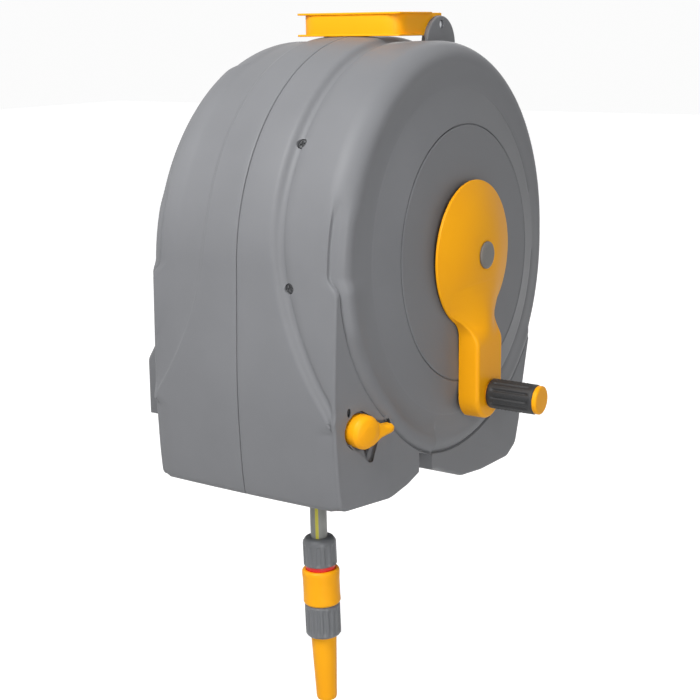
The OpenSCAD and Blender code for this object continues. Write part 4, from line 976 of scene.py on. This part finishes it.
fitted("nozzle_barrel", "nozzle", "yellow", barrel_line, yellow, 96, hang,
       [0, 0.6, 1, 2, 1.5, 0.6, 0])

# Pieces shown as they are in the CAD, each with its own material: screws, pins and rods of
# plated steel, the wall plate of duller steel, moulded plates and drum parts of dark plastic,
# nylon gears and rollers, and rubber seals.


def metal(name, colour, rough):
    """Plated steel with short scratches that change how it shines."""
    material, tree, shader = surface(name)
    spot = tree.node("TexCoord", out=3)
    stretched = tree.node("Mapping", {0: spot, 3: (40.0, 400.0, 400.0)})
    lines = tree.node("TexNoise", {"Vector": stretched, "Scale": 3.0, "Detail": 4.0})
    slow = tree.node("TexNoise", {"Vector": spot, "Scale": 25.0})
    link = tree.tree.links.new
    shader.inputs["Metallic"].default_value = 1.0
    link(slow.mix(rgb(colour), rgb("d9dadc")).socket, shader.inputs["Base Color"])
    link((lines * 0.2 + rough).socket, shader.inputs["Roughness"])
    return material


steel = metal("steel", "b9bcc0", 0.22)
bracket_steel = metal("bracket_steel", "8f9397", 0.38)
nylon = plastic("nylon", "d4d3ca", "dedcd2", (0.35, 0.45))
seal_black = plastic("seal_black", "101112", "191a1b", (0.5, 0.6))
finish = {
    steel: ["swivel_pins", "shell_screws", "plate_screws", "gear_pins", "guide_rod",
            "handle_pins", "crank_shaft", "crank_screw", "grip_axle", "traverse_screw",
            "roller_pins", "knob_shaft"],
    bracket_steel: ["wall_plate"],
    housing_grey: ["rear_spine"],
    shell_dark: ["gear_plate", "inlet_plate", "right_bearing", "left_bearing", "inlet_elbow",
                 "feed_pipe", "inlet_connector", "drum_barrel", "drum_flange_left",
                 "drum_flange_right", "drum_spindle", "drum_stub", "guide_carriage",
                 "brake_shoe", "connector_core"],
    nylon: ["drum_gear", "traverse_drive_gear", "layshaft_gears", "crank_gear",
            "traverse_idler", "traverse_gear", "guide_roller_left", "guide_roller_right"],
    seal_black: ["spindle_seals"],
    hose_grey: ["hose_inner_layers"],
}
for material, names in finish.items():
    for name in names:
        node = frame["nodes"][name]
        node.data.materials.clear()
        node.data.materials.append(material)


# Stage and lights: a pale floor below the hanging hose and a white backdrop, both as bright for
# mirroring and clear surfaces as for the camera, one broad light in front and above, one as
# strong at the right, and weak ones at the left, overhead and behind.


def seen(tree):
    """One for rays of the camera, of a mirroring surface and through glass, else nothing."""
    rays = tree.node("LightPath").socket.node.outputs
    total = Wire(tree.tree, rays["Is Camera Ray"])
    for other in ("Is Glossy Ray", "Is Transmission Ray"):
        total = total.math("MAXIMUM", total, Wire(tree.tree, rays[other]))
    return total


floor_paint, floor_tree, floor_shader = surface("floor_paint")
floor_shader.inputs["Base Color"].default_value = (0.5, 0.5, 0.5, 1)
floor_shader.inputs["Roughness"].default_value = 0.7
floor_shader.inputs["Emission Color"].default_value = (1, 1, 1, 1)
floor_tree.tree.links.new((seen(floor_tree) * 0.86).socket,
                          floor_shader.inputs["Emission Strength"])
floor_half, floor_level = 9000, -470
square = [(-1, -1), (1, -1), (1, 1), (-1, 1)]
floor = mesh("floor", [(x * floor_half, y * floor_half, floor_level) for x, y in square],
             [(0, 1, 2, 3)], floor_paint)


def lamp(name, power, size, where, towards=(0, -0.28, 0.0)):
    """A flat light of so many watts, aimed at the middle of the drum."""
    light = bpy.data.lights.new(name, "AREA")
    light.energy = power
    light.shape = "RECTANGLE"
    light.size, light.size_y = size
    made = bpy.data.objects.new(name, light)
    made.location = where
    made.rotation_euler = (Vector(towards) - Vector(where)).to_track_quat("-Z", "Y").to_euler()
    scene.collection.objects.link(made)
    return made


lamp("key_light", 22.5, (0.7, 0.7), (0.0, -1.35, 1.12))
lamp("right_light", 23.5, (0.6, 1.2), (1.75, -1.9, 0.35))
lamp("left_light", 5, (0.5, 1.3), (-2.1, -1.1, 0.5))
lamp("top_light", 1.5, (1.2, 1.0), (-0.2, -0.4, 1.9))
lamp("back_light", 9, (0.8, 1.2), (-1.2, 2.2, 0.9))
world = bpy.data.worlds.new("studio")
scene.world = world
world.use_nodes = True
backdrop = world.node_tree.nodes["Background"]
shown, ambient = 0.97, 0.16
world.node_tree.links.new((seen(Wire(world.node_tree)) * (shown - ambient) + ambient).socket,
                          backdrop.inputs["Strength"])
backdrop.inputs["Color"].default_value = (1, 1, 1, 1)
